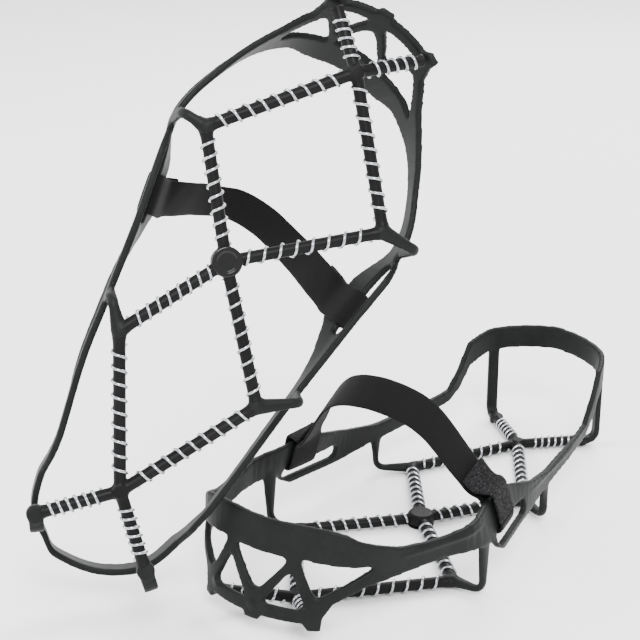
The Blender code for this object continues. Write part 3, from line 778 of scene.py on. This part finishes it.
# --- sub-assemblies --------------------------------------------------------------------------------
@dataclass
class Harness:
    """The moulded rubber round the boot: toe web, rails, heel band and brackets, as one piece."""

    side: str
    plan: Plan
    place: Matrix
    moulding: Moulding = Moulding(voxel=0.00085, swell=0.00024, passes=5)
    cast_nodes: tuple[str, ...] = ("toe_web", "rail_l", "rail_r", "heel_band")
    arms: tuple[tuple[str, float, float], ...] = (("front", 0.1290, 0.0320), ("rear", 0.2200, 0.0230))
    arm_radius: float = 0.0060
    bead_radius: float = 0.0008
    bead_runs: tuple[tuple[float, float, float, float], ...] = (
        (0.0760, 0.1280, 0.0425, 0.0435), (0.1900, 0.2660, 0.0335, 0.0285))
    boss_radius: float = 0.0024
    boss_places: tuple[tuple[float, float], ...] = ((0.0, 0.0165), (0.0275, 0.0185), (-0.0275, 0.0185))

    def build(self, palette: Palette) -> None:
        """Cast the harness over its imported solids."""
        bm = bmesh.new()
        for node in self.cast_nodes:
            bm.from_mesh(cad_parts[f"{self.side}_{node}"].data)
        bmesh.ops.remove_doubles(bm, verts=bm.verts, dist=1e-5)
        self._add_arms(bm)
        self._add_beads(bm)
        self._add_bosses(bm)
        mesh = self.moulding.cast(self.side + "_harness", bm)
        harness = new_object(self.side + "_harness", mesh, palette[Finish.HARNESS])
        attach(harness, self.side + "_cleat")
        arms = tuple(f"bracket_{name}_{side}" for name, _, _ in self.arms for side in ("l", "r"))
        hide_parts(*(f"{self.side}_{node}" for node in self.cast_nodes + arms))
        LOG.info("%s: one moulding, %d faces", harness.name, len(mesh.polygons))

    def _add_arms(self, bm: bmesh.types.BMesh) -> None:
        """Slim arms from the cords' side junctions, round the sole's edge and up into the rails."""
        points = self.plan.junctions()
        for name, run, bottom in self.arms:
            for side, sign in SIDES:
                pad = points[f"{name}_{side}"]
                top = self.plan.wall(sign * run, bottom + 0.0030)
                foot = Vector((top.x, top.y, pad.z))
                path = eased([pad, foot, top], self.arm_radius, 9)
                level = (foot - pad).normalized().cross(Vector((0, 0, 1)))
                along = self.plan.wall(sign * run + 0.002, bottom) - self.plan.wall(sign * run, bottom)
                along = along.normalized() if along.dot(level) > 0 else -along.normalized()
                total = sum((b - a).length for a, b in zip(path, path[1:]))
                halves, depths, gone = [], [], 0.0
                for k, point in enumerate(path):
                    gone += (point - path[k - 1]).length if k else 0.0
                    flare_in = max(0.0, 1 - gone / 0.0070) ** 2
                    flare_out = max(0.0, 1 - (total - gone) / 0.0085) ** 2
                    across = (level * (1 - flare_out) + along * flare_out).normalized()
                    halves.append(across * (0.0025 + 0.0014 * flare_in + 0.0030 * flare_out))
                    depths.append(0.0016 + 0.0012 * flare_in)
                limb(bm, [self.place @ p for p in path], [self.place.to_3x3() @ h for h in halves],
                     depths, 16)
                self._add_cheeks(bm, points, name, side, pad)

    def _add_cheeks(self, bm: bmesh.types.BMesh, points: dict[str, Vector], name: str, side: str,
                    pad: Vector) -> None:
        """Short swellings where two cords run into an arm."""
        radius = self.plan.sizes.pad_radius
        for other in (("toe", "hub") if name == "front" else ("heel", "hub")):
            way = (points[other] - pad).normalized()
            path = [self.place @ (pad + way * reach) for reach in (-0.0015, 0.0, 0.0018, 0.0036, 0.0050)]
            tube(bm, path, [radius * 0.7, radius, radius * 0.98, radius * 0.9, radius * 0.82], 18)

    def _add_beads(self, bm: bmesh.types.BMesh) -> None:
        """A raised line along the upper third of each rail."""
        for sign in (1, -1):
            for start, end, low, high in self.bead_runs:
                steps = 24
                shares = [k / steps for k in range(steps + 1)]
                path = [self.place @ self.plan.wall(sign * (start + (end - start) * t),
                                                    low + (high - low) * t,
                                                    self.plan.sizes.wall / 2) for t in shares]
                radii = [self.bead_radius * math.sqrt(max(math.sin(math.pi * t), 0.0)) + 0.0002
                         for t in shares]
                tube(bm, path, radii, 10)

    def _add_bosses(self, bm: bmesh.types.BMesh) -> None:
        """Low round bosses where the bars of the toe web meet its lower edge."""
        for run, height in self.boss_places:
            inner = self.place @ self.plan.wall(run, height, 0.0)
            outer = self.place @ self.plan.wall(run, height, self.plan.sizes.wall / 2 + 0.0007)
            tube(bm, [inner, outer], [self.boss_radius, self.boss_radius * 0.85], 20)


@dataclass
class SoleCords:
    """The crossed rubber cords under the sole, with the boss of each crossing."""

    side: str
    plan: Plan
    place: Matrix
    moulding: Moulding = Moulding(voxel=0.00052, swell=0.0, passes=3)
    crossings: tuple[tuple[str, tuple[str, ...]], ...] = (
        ("toe", ("toe_corner_l", "toe_corner_r", "front_l", "front_r")),
        ("hub", ("front_l", "front_r", "rear_l", "rear_r")),
        ("heel", ("rear_l", "rear_r", "heel_corner_l", "heel_corner_r")),
    )

    def build(self, palette: Palette) -> None:
        """Cast the cords of all three crossings."""
        sizes = self.plan.sizes
        points = self.plan.junctions()
        bm = bmesh.new()
        for centre, ends in self.crossings:
            for end in ends:
                tube(bm, *self._cord(points[centre], points[end], end), 16)
            if centre == "hub":
                self._add_hub(bm, points[centre])
            else:
                half = sizes.cord_swell * 0.56
                turned(bm, [(0, -half), (sizes.cord_swell * 0.55, -half), (sizes.cord_swell * 0.78, 0),
                            (sizes.cord_swell * 0.55, half), (0, half)], points[centre], 24)
        bm.transform(self.place)
        mesh = self.moulding.cast(self.side + "_sole_cords", bm)
        cords = new_object(self.side + "_sole_cords", mesh, palette[Finish.CORD])
        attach(cords, self.side + "_cleat")
        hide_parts(*(f"{self.side}_{centre}_cross" for centre, _ in self.crossings))
        LOG.info("%s: %d faces", cords.name, len(mesh.polygons))

    def _cord(self, start: Vector, end: Vector, name: str) -> tuple[list[Vector], list[float]]:
        """Draw one cord, a little thicker where it is moulded to its neighbours.

        Args:
            start: The crossing it starts from.
            end: The junction it runs to.
            name: The name of that junction.

        Returns:
            Its middle line, and its radius at each point.
        """
        sizes = self.plan.sizes
        way = (end - start).normalized()
        trim = 0.0 if name.startswith("toe_corner") else sizes.pad_radius - 0.0010
        stop = end - way * trim
        steps = 28
        path = [start.lerp(stop, k / steps) for k in range(steps + 1)]
        length = (stop - start).length
        radii = []
        for k in range(steps + 1):
            near = min(k / steps * length, (1 - k / steps) * length)
            radii.append(sizes.cord_swell / 2 + 0.0006 * max(0.0, 1 - near / 0.0040) ** 2)
        return path, radii

    def _add_hub(self, bm: bmesh.types.BMesh, middle: Vector) -> None:
        """The round boss that the four middle cords run into."""
        sizes = self.plan.sizes
        low = sizes.hub_bottom - middle.z
        high = sizes.hub_top - middle.z
        radius = sizes.hub_diameter / 2
        turned(bm, [(0, low), (radius - 0.0004, low), (radius, low + 0.0005), (radius, high - 0.0012),
                    (radius - 0.0012, high), (0, high)], middle, 48)


class Hand(Enum):
    """Which way a coil is wound."""

    LEFT = False
    RIGHT = True

    def other(self) -> Hand:
        """The opposite hand."""
        return Hand.LEFT if self is Hand.RIGHT else Hand.RIGHT


@dataclass(frozen=True)
class CoilKind:
    """One of the six stretches of wound cord on each side."""

    name: str
    start: str
    end: str
    from_start: float
    from_end: float
    turns: float
    hand: Hand


class GrownTree:
    """Geometry nodes with named inputs, whose result is taken as a plain mesh."""

    NAME = ""
    INPUTS: tuple[tuple[str, str, float | bool | None], ...] = ()

    def __init__(self) -> None:
        """Build the tree once: the carrier's geometry, the named inputs and one mesh out."""
        self.tree = bpy.data.node_groups.new(self.NAME, "GeometryNodeTree")
        self.tree.interface.new_socket(name="Carrier", in_out="INPUT", socket_type="NodeSocketGeometry")
        self.sockets = {}
        for name, kind, default in self.INPUTS + (("Finish", "NodeSocketMaterial", None),):
            socket = self.tree.interface.new_socket(name=name, in_out="INPUT", socket_type=kind)
            if default is not None:
                socket.default_value = default
            self.sockets[name] = socket.identifier
        self.tree.interface.new_socket(name="Mesh", in_out="OUTPUT", socket_type="NodeSocketGeometry")
        graph = Graph(self.tree)
        given = graph.add("NodeGroupInput")
        whole = graph.add("GeometryNodeRealizeInstances", {}, {0: self.grow(graph, given)})
        dressed = graph.add("GeometryNodeSetMaterial", {},
                            {"Geometry": whole, "Material": given.other("Finish")})
        graph.add("NodeGroupOutput")
        graph.feed(self.tree.nodes[-1].inputs[0], dressed)

    def grow(self, graph: Graph, given: Signal) -> Signal:
        """Lay out the nodes of this kind.

        Args:
            graph: Where the nodes go.
            given: The carrier's geometry; its other outputs are the named inputs.

        Returns:
            The grown geometry.
        """
        raise NotImplementedError

    def make(self, name: str, carrier: bpy.types.Mesh, settings: dict) -> bpy.types.Mesh:
        """Grow on a carrier.

        Args:
            name: The name of the new mesh.
            carrier: What it grows on, which this uses up.
            settings: A value for each named input that differs from its default.

        Returns:
            The result as a plain mesh.
        """
        seed = new_object(name + "_carrier", carrier)
        modifier = seed.modifiers.new(self.NAME, "NODES")
        modifier.node_group = self.tree
        for key, value in settings.items():
            modifier[self.sockets[key]] = value
        mesh = evaluated(seed)
        mesh.name = name
        drop(seed)
        return mesh


class SpringTree(GrownTree):
    """An evenly wound spring."""

    NAME = "wound_spring"
    INPUTS = (("Length", "NodeSocketFloat", 0.05), ("Turns", "NodeSocketFloat", 8.0),
              ("Coil Radius", "NodeSocketFloat", 0.0034), ("Wire Radius", "NodeSocketFloat", 0.00065),
              ("Right Hand", "NodeSocketBool", False))
    POINTS_PER_TURN = 28
    WIRE_SIDES = 10

    def grow(self, graph: Graph, given: Signal) -> Signal:
        """Sweep the wire along a spiral, from the origin along +Z."""
        spiral = graph.add("GeometryNodeCurveSpiral", {}, {
            "Resolution": self.POINTS_PER_TURN, "Rotations": given.other("Turns"),
            "Start Radius": given.other("Coil Radius"), "End Radius": given.other("Coil Radius"),
            "Height": given.other("Length"), "Reverse": given.other("Right Hand")})
        section = graph.add("GeometryNodeCurvePrimitiveCircle", {}, {
            "Resolution": self.WIRE_SIDES, "Radius": given.other("Wire Radius")})
        swept = graph.add("GeometryNodeCurveToMesh", {}, {
            "Curve": spiral, "Profile Curve": section, "Fill Caps": True})
        return graph.add("GeometryNodeSetShadeSmooth", {}, {"Geometry": swept, "Shade Smooth": True})


@dataclass
class Coils:
    """Twelve traction coils, each threaded on one stretch of cord."""

    side: str
    plan: Plan
    place: Matrix
    spring: SpringTree

    def kinds(self) -> Iterable[CoilKind]:
        """The six kinds on each side, with the hand of the wearer's-right one."""
        sizes = self.plan.sizes
        pad = sizes.coil_stand_off
        hub = sizes.hub_diameter / 2 + 2 * sizes.gap
        return (CoilKind("toe", "toe", "toe_corner", 0.0062, 0.0040, 5, Hand.LEFT),
                CoilKind("front", "toe", "front", 0.0062, pad, 9, Hand.RIGHT),
                CoilKind("mid_front", "hub", "front", hub, pad, 8, Hand.RIGHT),
                CoilKind("mid_rear", "hub", "rear", hub, pad, 8, Hand.LEFT),
                CoilKind("rear", "heel", "rear", 0.0080, pad, 9, Hand.LEFT),
                CoilKind("heel", "heel", "heel_corner", 0.0080, pad, 6, Hand.RIGHT))

    def build(self, palette: Palette) -> None:
        """Wind every coil and thread it on its cord."""
        points = self.plan.junctions()
        for kind in self.kinds():
            for side in ("l", "r"):
                self._wind(kind, side, points, palette)
        LOG.info("%s coils: 12 wound", self.side)

    def _wind(self, kind: CoilKind, side: str, points: dict[str, Vector], palette: Palette) -> None:
        """Wind one coil.

        Args:
            kind: Which of the six kinds it is.
            side: l for the wearer's left, r for the right.
            points: The cords' junctions, by name.
            palette: The finishes.
        """
        sizes = self.plan.sizes
        start = points[kind.start]
        end = points[f"{kind.end}_{side}"]
        way = (end - start).normalized()
        length = (end - start).length - kind.from_start - kind.from_end - sizes.wire_diameter
        length += 2 * sizes.coil_overrun
        hand = kind.hand if side == "r" else kind.hand.other()
        node = f"{self.side}_coil_{kind.name}_{side}"
        mesh = self.spring.make(node + "_wire", bpy.data.meshes.new(node + "_seed"), {
            "Length": length, "Turns": float(kind.turns),
            "Coil Radius": (sizes.coil_diameter - sizes.wire_diameter) / 2,
            "Wire Radius": sizes.wire_diameter / 2,
            "Right Hand": hand is Hand.RIGHT, "Finish": palette[Finish.WIRE]})
        first = start + way * (kind.from_start + sizes.wire_diameter / 2 - sizes.coil_overrun)
        turn = way.to_track_quat("Z", "Y").to_matrix().to_4x4()
        mesh.transform(self.place @ Matrix.Translation(first) @ turn)
        coil = new_object(node + "_wire", mesh, palette[Finish.WIRE])
        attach(coil, f"{self.side}_{kind.name}_coil_{side}")
        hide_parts(node)


@dataclass
class HubCap:
    """The glossy disc in the tread side of the hub, with a raised rim and a dished middle."""

    side: str
    plan: Plan
    place: Matrix
    steps: int = 72
    edge: float = 0.0003

    def build(self, palette: Palette) -> None:
        """Turn the disc."""
        sizes = self.plan.sizes
        hub = self.plan.junctions()["hub"]
        outer = sizes.hub_diameter / 2
        recess = sizes.hub_recess_diameter / 2
        bottom = sizes.cap_bottom
        floor = bottom + sizes.cap_rim
        top = sizes.hub_bottom - sizes.gap
        e = self.edge
        profile = [(0, floor - e * 0.7), (recess * 0.5, floor - e * 0.5), (recess - e, floor),
                   (recess, floor - e * 0.3), (recess + e, bottom + e), (recess + 2 * e, bottom + e * 0.2),
                   (recess + 3 * e, bottom), (outer - 2.5 * e, bottom), (outer - e, bottom + e * 0.4),
                   (outer - e * 0.3, bottom + e), (outer, bottom + 2 * e), (outer, top - e),
                   (outer - e, top), (0, top)]
        bm = bmesh.new()
        turned(bm, profile, Vector((hub.x, hub.y, 0)), self.steps)
        bm.transform(self.place)
        cap = new_object(self.side + "_hub_disc", mesh_of(self.side + "_hub_disc", bm), palette[Finish.HUB])
        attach(cap, self.side + "_cleat")
        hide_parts(self.side + "_hub_cap")


Station = tuple[Vector, Vector]


class Ribbon:
    """A flat strap along a path of stations, each its middle and half its width as a vector."""

    AROUND = 28

    def __init__(self, stations: Sequence[Station], thickness: float, reach: float) -> None:
        """Ease the path's corners.

        Args:
            stations: The path, corner by corner.
            thickness: Through the strap.
            reach: How far from a corner its rounding starts.
        """
        middles = eased([middle for middle, _ in stations], reach)
        halves = eased([half for _, half in stations], reach)
        self.middles, self.halves = self._even(middles, halves)
        self.thickness = thickness

    @staticmethod
    def _even(middles: list[Vector], halves: list[Vector]) -> tuple[list[Vector], list[Vector]]:
        """Drop points that lie too close, so that no cross-section folds over its neighbour."""
        kept = [0]
        for k in range(1, len(middles)):
            if (middles[k] - middles[kept[-1]]).length > 0.00025:
                kept.append(k)
        return [middles[k] for k in kept], [halves[min(k, len(halves) - 1)] for k in kept]

    def section(self, share: float, bulge: float) -> tuple[float, float]:
        """Across and through, each from -1 to 1, at a share of the way round the strap's section."""
        angle = math.tau * share
        c, s = math.cos(angle), math.sin(angle)
        across = math.copysign(abs(c) ** 0.28, c)
        through = math.copysign(abs(s) ** 0.55, s)
        return across, through * (1 - bulge * across * across)

    def mesh(self, name: str, place: Matrix) -> bpy.types.Mesh:
        """The strap with a UV map in metres, across and along."""
        bm = bmesh.new()
        layer = bm.loops.layers.uv.new("cloth")
        rings = []
        run = 0.0
        runs = []
        for k, (middle, half) in enumerate(zip(self.middles, self.halves)):
            before = self.middles[max(k - 1, 0)]
            after = self.middles[min(k + 1, len(self.middles) - 1)]
            normal = (after - before).cross(half).normalized()
            run += (middle - self.middles[k - 1]).length if k else 0.0
            runs.append(run)
            ring = []
            for n in range(self.AROUND):
                across, through = self.section(n / self.AROUND, 0.12)
                ring.append(bm.verts.new(middle + half * across + normal * through * self.thickness / 2))
            rings.append(ring)
        width = self.halves[0].length
        for k in range(len(rings) - 1):
            for n in range(self.AROUND):
                m = (n + 1) % self.AROUND
                face = bm.faces.new((rings[k][n], rings[k][m], rings[k + 1][m], rings[k + 1][n]))
                places = ((n, k), (n + 1, k), (n + 1, k + 1), (n, k + 1))
                for loop, (step, station) in zip(face.loops, places):
                    across, _ = self.section(step / self.AROUND, 0.0)
                    loop[layer].uv = (across * width, runs[station])
        for ring in (rings[0], rings[-1]):
            face = bm.faces.new(ring)
            for loop, n in zip(face.loops, range(self.AROUND)):
                across, through = self.section(n / self.AROUND, 0.0)
                loop[layer].uv = (across * width, through * self.thickness)
        bm.transform(place)
        return mesh_of(name, bm)


class FuzzTree(GrownTree):
    """Short fibres grown from the faces of a piece."""

    NAME = "brushed_pile"
    INPUTS = (("Density", "NodeSocketFloat", 3.2e6), ("Fibre Length", "NodeSocketFloat", 0.0006),
              ("Fibre Radius", "NodeSocketFloat", 0.00006))
    SEED = 11
    LEAST_LEAN = (-1.0, -1.0, 0.0)
    MOST_LEAN = (1.0, 1.0, 6.28)
    LEAST_SIZE = 0.45
    MOST_SIZE = 1.35

    def grow(self, graph: Graph, given: Signal) -> Signal:
        """Scatter leaning fibres over the carrier, and keep the carrier."""
        spots = graph.add("GeometryNodeDistributePointsOnFaces", {"distribute_method": "RANDOM"},
                          {"Mesh": given, "Density": given.other("Density"), "Seed": self.SEED})
        fibre = graph.add("GeometryNodeMeshCone", {"fill_type": "NGON"}, {
            "Vertices": 3, "Radius Top": given.other("Fibre Radius") * 0.4,
            "Radius Bottom": given.other("Fibre Radius"), "Depth": given.other("Fibre Length")})
        lean = graph.add("FunctionNodeRandomValue", {"data_type": "FLOAT_VECTOR"}, {
            0: self.LEAST_LEAN, 1: self.MOST_LEAN, "Seed": self.SEED + 1})
        size = graph.add("FunctionNodeRandomValue", {"data_type": "FLOAT"}, {
            2: self.LEAST_SIZE, 3: self.MOST_SIZE, "Seed": self.SEED + 2})
        turn = graph.add("FunctionNodeRotateRotation", {"rotation_space": "LOCAL"}, {
            0: spots.other("Rotation"), 1: graph.add("FunctionNodeEulerToRotation", {}, {0: lean})})
        grown = graph.add("GeometryNodeInstanceOnPoints", {}, {
            "Points": spots, "Instance": fibre, "Rotation": turn,
            "Scale": Signal(graph, size.socket.node.outputs[1])})
        joined = graph.add("GeometryNodeJoinGeometry", {}, {0: grown})
        graph.feed(joined.socket.node.inputs[0], given)
        return joined


class StitchTree(GrownTree):
    """Stitches laid along a path of edges."""

    NAME = "stitch_row"
    INPUTS = (("Pitch", "NodeSocketFloat", 0.0024), ("Stitch Length", "NodeSocketFloat", 0.0019),
              ("Thread Radius", "NodeSocketFloat", 0.00022))

    def grow(self, graph: Graph, given: Signal) -> Signal:
        """Set one long bead at each step of the path."""
        curve = graph.add("GeometryNodeMeshToCurve", {}, {0: given})
        spots = graph.add("GeometryNodeCurveToPoints", {"mode": "LENGTH"}, {
            "Curve": curve, "Length": given.other("Pitch")})
        ball = graph.add("GeometryNodeMeshUVSphere", {}, {"Segments": 8, "Rings": 6, "Radius": 1.0})
        shape = graph.add("ShaderNodeCombineXYZ", {}, {
            0: given.other("Thread Radius"), 1: given.other("Thread Radius"),
            2: given.other("Stitch Length") * 0.5})
        laid = graph.add("GeometryNodeInstanceOnPoints", {}, {
            "Points": spots, "Instance": ball, "Rotation": spots.other("Rotation"), "Scale": shape})
        return graph.add("GeometryNodeSetShadeSmooth", {}, {"Geometry": laid, "Shade Smooth": True})


@dataclass
class Strap:
    """The instep strap: the arch, its sewn end and the brushed end that peels open."""

    side: str
    plan: Plan
    place: Matrix
    fuzz: FuzzTree
    stitches: StitchTree
    arch_points: tuple[tuple[float, float, float], ...] = (
        (0.0520, -0.0320, 0.0530), (0.0440, -0.0360, 0.0645), (0.0370, -0.0400, 0.0760),
        (0.0300, -0.0430, 0.0855), (0.0220, -0.0460, 0.0920), (0.0120, -0.0490, 0.0960),
        (0.0000, -0.0500, 0.0975))
    tilt_at_rail: float = math.radians(12)
    tilt_at_top: float = math.radians(36)

    def _bar(self, sign: int) -> tuple[Vector, Vector, Vector, Vector]:
        """Find the bar above a slot.

        Args:
            sign: 1 for the wearer's left, -1 for the right.

        Returns:
            Its middle, and its outward, upward and lengthwise directions.
        """
        sizes = self.plan.sizes
        run = sign * (sizes.strap_run + self.plan.stretch.strap_slide)
        height = sizes.slot_bottom + sizes.slot_height + sizes.bar_height / 2
        middle = self.plan.wall(run, height)
        up = (self.plan.wall(run, height + 0.001) - middle).normalized()
        outward = (self.plan.wall(run, height, 0.001) - middle).normalized()
        along = up.cross(outward).normalized()
        along = along if along.y > 0 else -along
        outward = along.cross(up)
        return middle, outward if outward.x * sign > 0 else -outward, up, along

    def _wrap(self, sign: int) -> list[Station]:
        """Wrap a bar from its inner side, under it and just round onto its outer side.

        Args:
            sign: 1 for the wearer's left, -1 for the right.

        Returns:
            The strap's stations.
        """
        sizes = self.plan.sizes
        middle, outward, up, along = self._bar(sign)
        half = along * sizes.strap_width / 2
        reach = sizes.wall / 2 + sizes.bend_gap + sizes.strap_thickness / 2
        drop_to = sizes.bar_height / 2 + sizes.bend_gap + sizes.strap_thickness / 2
        low = -sizes.bar_height / 2
        profile = ((-reach, 0.0020 - low), (-reach, 0.0008 + low), (-reach * 0.6, -drop_to),
                   (reach * 0.6, -drop_to), (reach, 0.0008 + low), (reach, 0.0025 + low))
        return [(middle + outward * across + up * rise, half) for across, rise in profile]

    def _arch(self) -> list[Station]:
        """The arch over the instep, from the wearer's right to the wearer's left."""
        sizes = self.plan.sizes
        lowest, highest = self.arch_points[0][2], self.arch_points[-1][2]
        here = self.plan.at(sizes.strap_run + self.plan.stretch.strap_slide)
        drawn = self.plan.at(sizes.strap_run)
        left = []
        for x, y, z in self.arch_points:
            share = (z - lowest) / (highest - lowest)
            tilt = self.tilt_at_rail + (self.tilt_at_top - self.tilt_at_rail) * share
            middle = Vector((x + (here[0] - drawn[0]) * (1 - share), y + here[1] - drawn[1], z))
            left.append((middle, Vector((0, math.cos(tilt), math.sin(tilt))) * sizes.strap_width / 2))
        right = [(Vector((self.plan.drawn_in(-middle.x, middle.y), middle.y, middle.z)), half)
                 for middle, half in left[:-1]]
        return right + list(reversed(left))

    def _fold(self, sign: int, length: float) -> list[Station]:
        """Follow the strap's end from its fold up the outer side of the bar, then just outside the arch.

        Args:
            sign: 1 for the wearer's left, -1 for the right.
            length: Of the end.

        Returns:
            The end's stations.
        """
        sizes = self.plan.sizes
        fold, half = self._wrap(sign)[-1]
        _, outward, up, _ = self._bar(sign)
        path = [(fold + up * sizes.gap, half), (fold + up * (sizes.bar_height + 0.0020), half)]
        arch = self._arch()
        guide = list(reversed(arch)) if sign > 0 else arch
        for (point, turned_half), (following, _) in zip(guide, guide[1:]):
            normal = (following - point).normalized().cross(turned_half).normalized()
            normal = normal if normal.dot(outward) > 0 else -normal
            path.append((point + normal * (sizes.strap_thickness + sizes.bend_gap), turned_half))
        stations = [path[0]]
        left = length
        for (here, _), (there, turned_half) in zip(path, path[1:]):
            step = (there - here).length
            if step >= left:
                stations.append((here.lerp(there, left / step), turned_half))
                break
            stations.append((there, turned_half))
            left -= step
        return stations

    def build(self, palette: Palette) -> None:
        """Make the strap's three pieces and the stitching of its sewn end."""
        sizes = self.plan.sizes
        path = list(reversed(self._wrap(-1))) + self._arch() + self._wrap(1)
        arch = Ribbon(path, sizes.strap_thickness, 0.0045)
        self._show("strap_webbing", "strap", arch.mesh(self.side + "_strap_webbing", self.place),
                   palette[Finish.WEBBING], "cleat")
        anchor = Ribbon(self._fold(-1, sizes.anchor_length), sizes.strap_thickness, 0.0030)
        self._show("strap_sewn_end", "strap_anchor", anchor.mesh(self.side + "_strap_sewn_end", self.place),
                   palette[Finish.WEBBING], "cleat")
        tail = Ribbon(self._fold(1, sizes.tail_length), sizes.strap_thickness, 0.0030)
        backing = tail.mesh(self.side + "_strap_brushed", self.place)
        backing.materials.append(palette[Finish.PILE])
        brushed = self.fuzz.make(self.side + "_strap_brushed_end", backing,
                                 {"Finish": palette[Finish.PILE]})
        self._show("strap_brushed_end", "strap_tail", brushed, palette[Finish.PILE],
                   "strap_end")
        self._sew(anchor, palette)
        LOG.info("%s strap: three pieces", self.side)

    def _show(self, name: str, node: str, mesh: bpy.types.Mesh, material: bpy.types.Material,
              body: str) -> None:
        """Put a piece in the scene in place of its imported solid.

        Args:
            name: The piece's name, without its side.
            node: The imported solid's name, without its side.
            mesh: The piece.
            material: Its material.
            body: The body that it moves with, without its side.
        """
        piece = new_object(f"{self.side}_{name}", mesh, material)
        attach(piece, f"{self.side}_{body}")
        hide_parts(f"{self.side}_{node}")

    def _sew(self, anchor: Ribbon, palette: Palette) -> None:
        """A boxed row of stitches on the outer face of the sewn end."""
        sizes = self.plan.sizes
        _, outward, _, _ = self._bar(-1)
        total = len(anchor.middles)
        first, last = int(total * 0.45), int(total * 0.93)
        inset = 0.80

        def spot(k: int, across: float) -> Vector:
            """A point on the outer face."""
            middle, half = anchor.middles[k], anchor.halves[k]
            step = anchor.middles[min(k + 1, total - 1)] - anchor.middles[max(k - 1, 0)]
            normal = step.cross(half).normalized()
            normal = normal if normal.dot(outward) > 0 else -normal
            return self.place @ (middle + half * across + normal * (sizes.strap_thickness / 2 + 0.00005))

        keys = list(range(first, last + 1))
        up = [spot(k, inset) for k in keys]
        down = [spot(k, -inset) for k in reversed(keys)]
        path = up + down + [up[0]]
        line = bpy.data.meshes.new(self.side + "_strap_seam")
        line.from_pydata([tuple(point) for point in path], [(k, k + 1) for k in range(len(path) - 1)], [])
        mesh = self.stitches.make(self.side + "_strap_stitches", line, {"Finish": palette[Finish.THREAD]})
        stitches = new_object(self.side + "_strap_stitches", mesh, palette[Finish.THREAD])
        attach(stitches, self.side + "_cleat")


@dataclass
class Cleat:
    """One whole cleat."""

    side: str
    stretch: Stretch
    placement: Placement
    sizes: Sizes

    def build(self, palette: Palette, spring: SpringTree, fuzz: FuzzTree, stitches: StitchTree) -> None:
        """Build and dress every piece of the cleat."""
        plan = Plan(self.sizes, self.stretch)
        place = self.placement.matrix()
        Harness(self.side, plan, place).build(palette)
        SoleCords(self.side, plan, place).build(palette)
        Coils(self.side, plan, place, spring).build(palette)
        HubCap(self.side, plan, place).build(palette)
        Strap(self.side, plan, place, fuzz, stitches).build(palette)


# --- the studio ------------------------------------------------------------------------------------
@dataclass
class Studio:
    """A pale floor, soft lights and the camera."""

    eye: Vector
    azimuth: float
    elevation: float
    lens: float
    floor_half: float = 9.0
    floor_colour: Colour = (0.93, 0.93, 0.93)

    def build(self) -> None:
        """Set the floor, the lights, the sky and the camera."""
        self._floor()
        self._sky()
        self._light("key_light", (0.9, -1.1, 1.6), 0.8, 60.0)
        self._light("fill_light", (-1.5, -0.9, 1.0), 1.2, 30.0)
        self._light("back_light", (-0.3, 1.5, 1.5), 1.0, 45.0)
        self._camera()

    def _floor(self) -> None:
        """A plain sheet under the tread."""
        bm = bmesh.new()
        corners = [bm.verts.new((x * self.floor_half, y * self.floor_half, 0.0))
                   for x, y in ((-1, -1), (1, -1), (1, 1), (-1, 1))]
        bm.faces.new(corners)
        mesh = bpy.data.meshes.new("studio_floor")
        bm.to_mesh(mesh)
        bm.free()
        new_object("studio_floor", mesh, StudioFinish("studio_floor", self.floor_colour).make())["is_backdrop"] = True

    def _sky(self) -> None:
        """An even pale surround."""
        world = bpy.data.worlds.new("studio_sky")
        world.use_nodes = True
        background = world.node_tree.nodes["Background"]
        background.inputs["Color"].default_value = (1.0, 1.0, 1.0, 1.0)
        background.inputs["Strength"].default_value = 1.9
        bpy.context.scene.world = world

    def _light(self, name: str, place: tuple[float, float, float], size: float, power: float) -> None:
        """One soft area light aimed at the middle of the pair."""
        data = bpy.data.lights.new(name, "AREA")
        data.size = size
        data.energy = power
        light = bpy.data.objects.new(name, data)
        light.location = place
        light.rotation_euler = (Vector((0, 0, 0.1)) - Vector(place)).to_track_quat("-Z", "Y").to_euler()
        bpy.context.scene.collection.objects.link(light)

    def _camera(self) -> None:
        """The camera, level and turned to the pair."""
        data = bpy.data.cameras.new("camera")
        data.lens = self.lens
        data.sensor_width = 36.0
        data.clip_start = 0.01
        camera = bpy.data.objects.new("camera", data)
        camera.location = self.eye
        camera.rotation_euler = (math.pi / 2 - self.elevation, 0.0, self.azimuth)
        bpy.context.scene.collection.objects.link(camera)
        bpy.context.scene.camera = camera


def corners() -> list[list[float]]:
    """The lowest and highest corner of what shows, as plain lists."""
    return [[float(value) for value in corner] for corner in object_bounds()]


def main() -> None:
    """Build the pair and the studio, and report each piece."""
    logging.basicConfig(level=logging.INFO, format="%(name)s %(message)s")
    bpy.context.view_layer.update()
    sizes = Sizes()
    standing = Placement(Vector((0.02638, 0.024815, -0.00030)), Vector((0, 0, 1)), 0.0)
    propped = Placement(standing.origin + Vector((-0.0290, -0.1188, 0.1758)),
                        Vector((-0.8942, -0.1033, 0.4356)), math.radians(125.3))
    cleats = (
        Cleat("left", Stretch(-0.0105, 0.0, 0.24, 0.0700, 0.0, 0.0, 0.0, 0.0), standing, sizes),
        Cleat("right", Stretch(0.0, -0.0095, 0.50, 0.1150, 0.0040, 0.0072, 0.0120, 0.01653), propped,
              sizes),
    )
    Studio(Vector((0.39763, -0.62110, 0.39761)), math.radians(34.2), math.radians(20.4), 84.375).build()
    palette = Palette()
    spring, fuzz, stitches = SpringTree(), FuzzTree(), StitchTree()
    for cleat in cleats:
        cleat.build(palette, spring, fuzz, stitches)


if __name__ == "__main__":
    main()
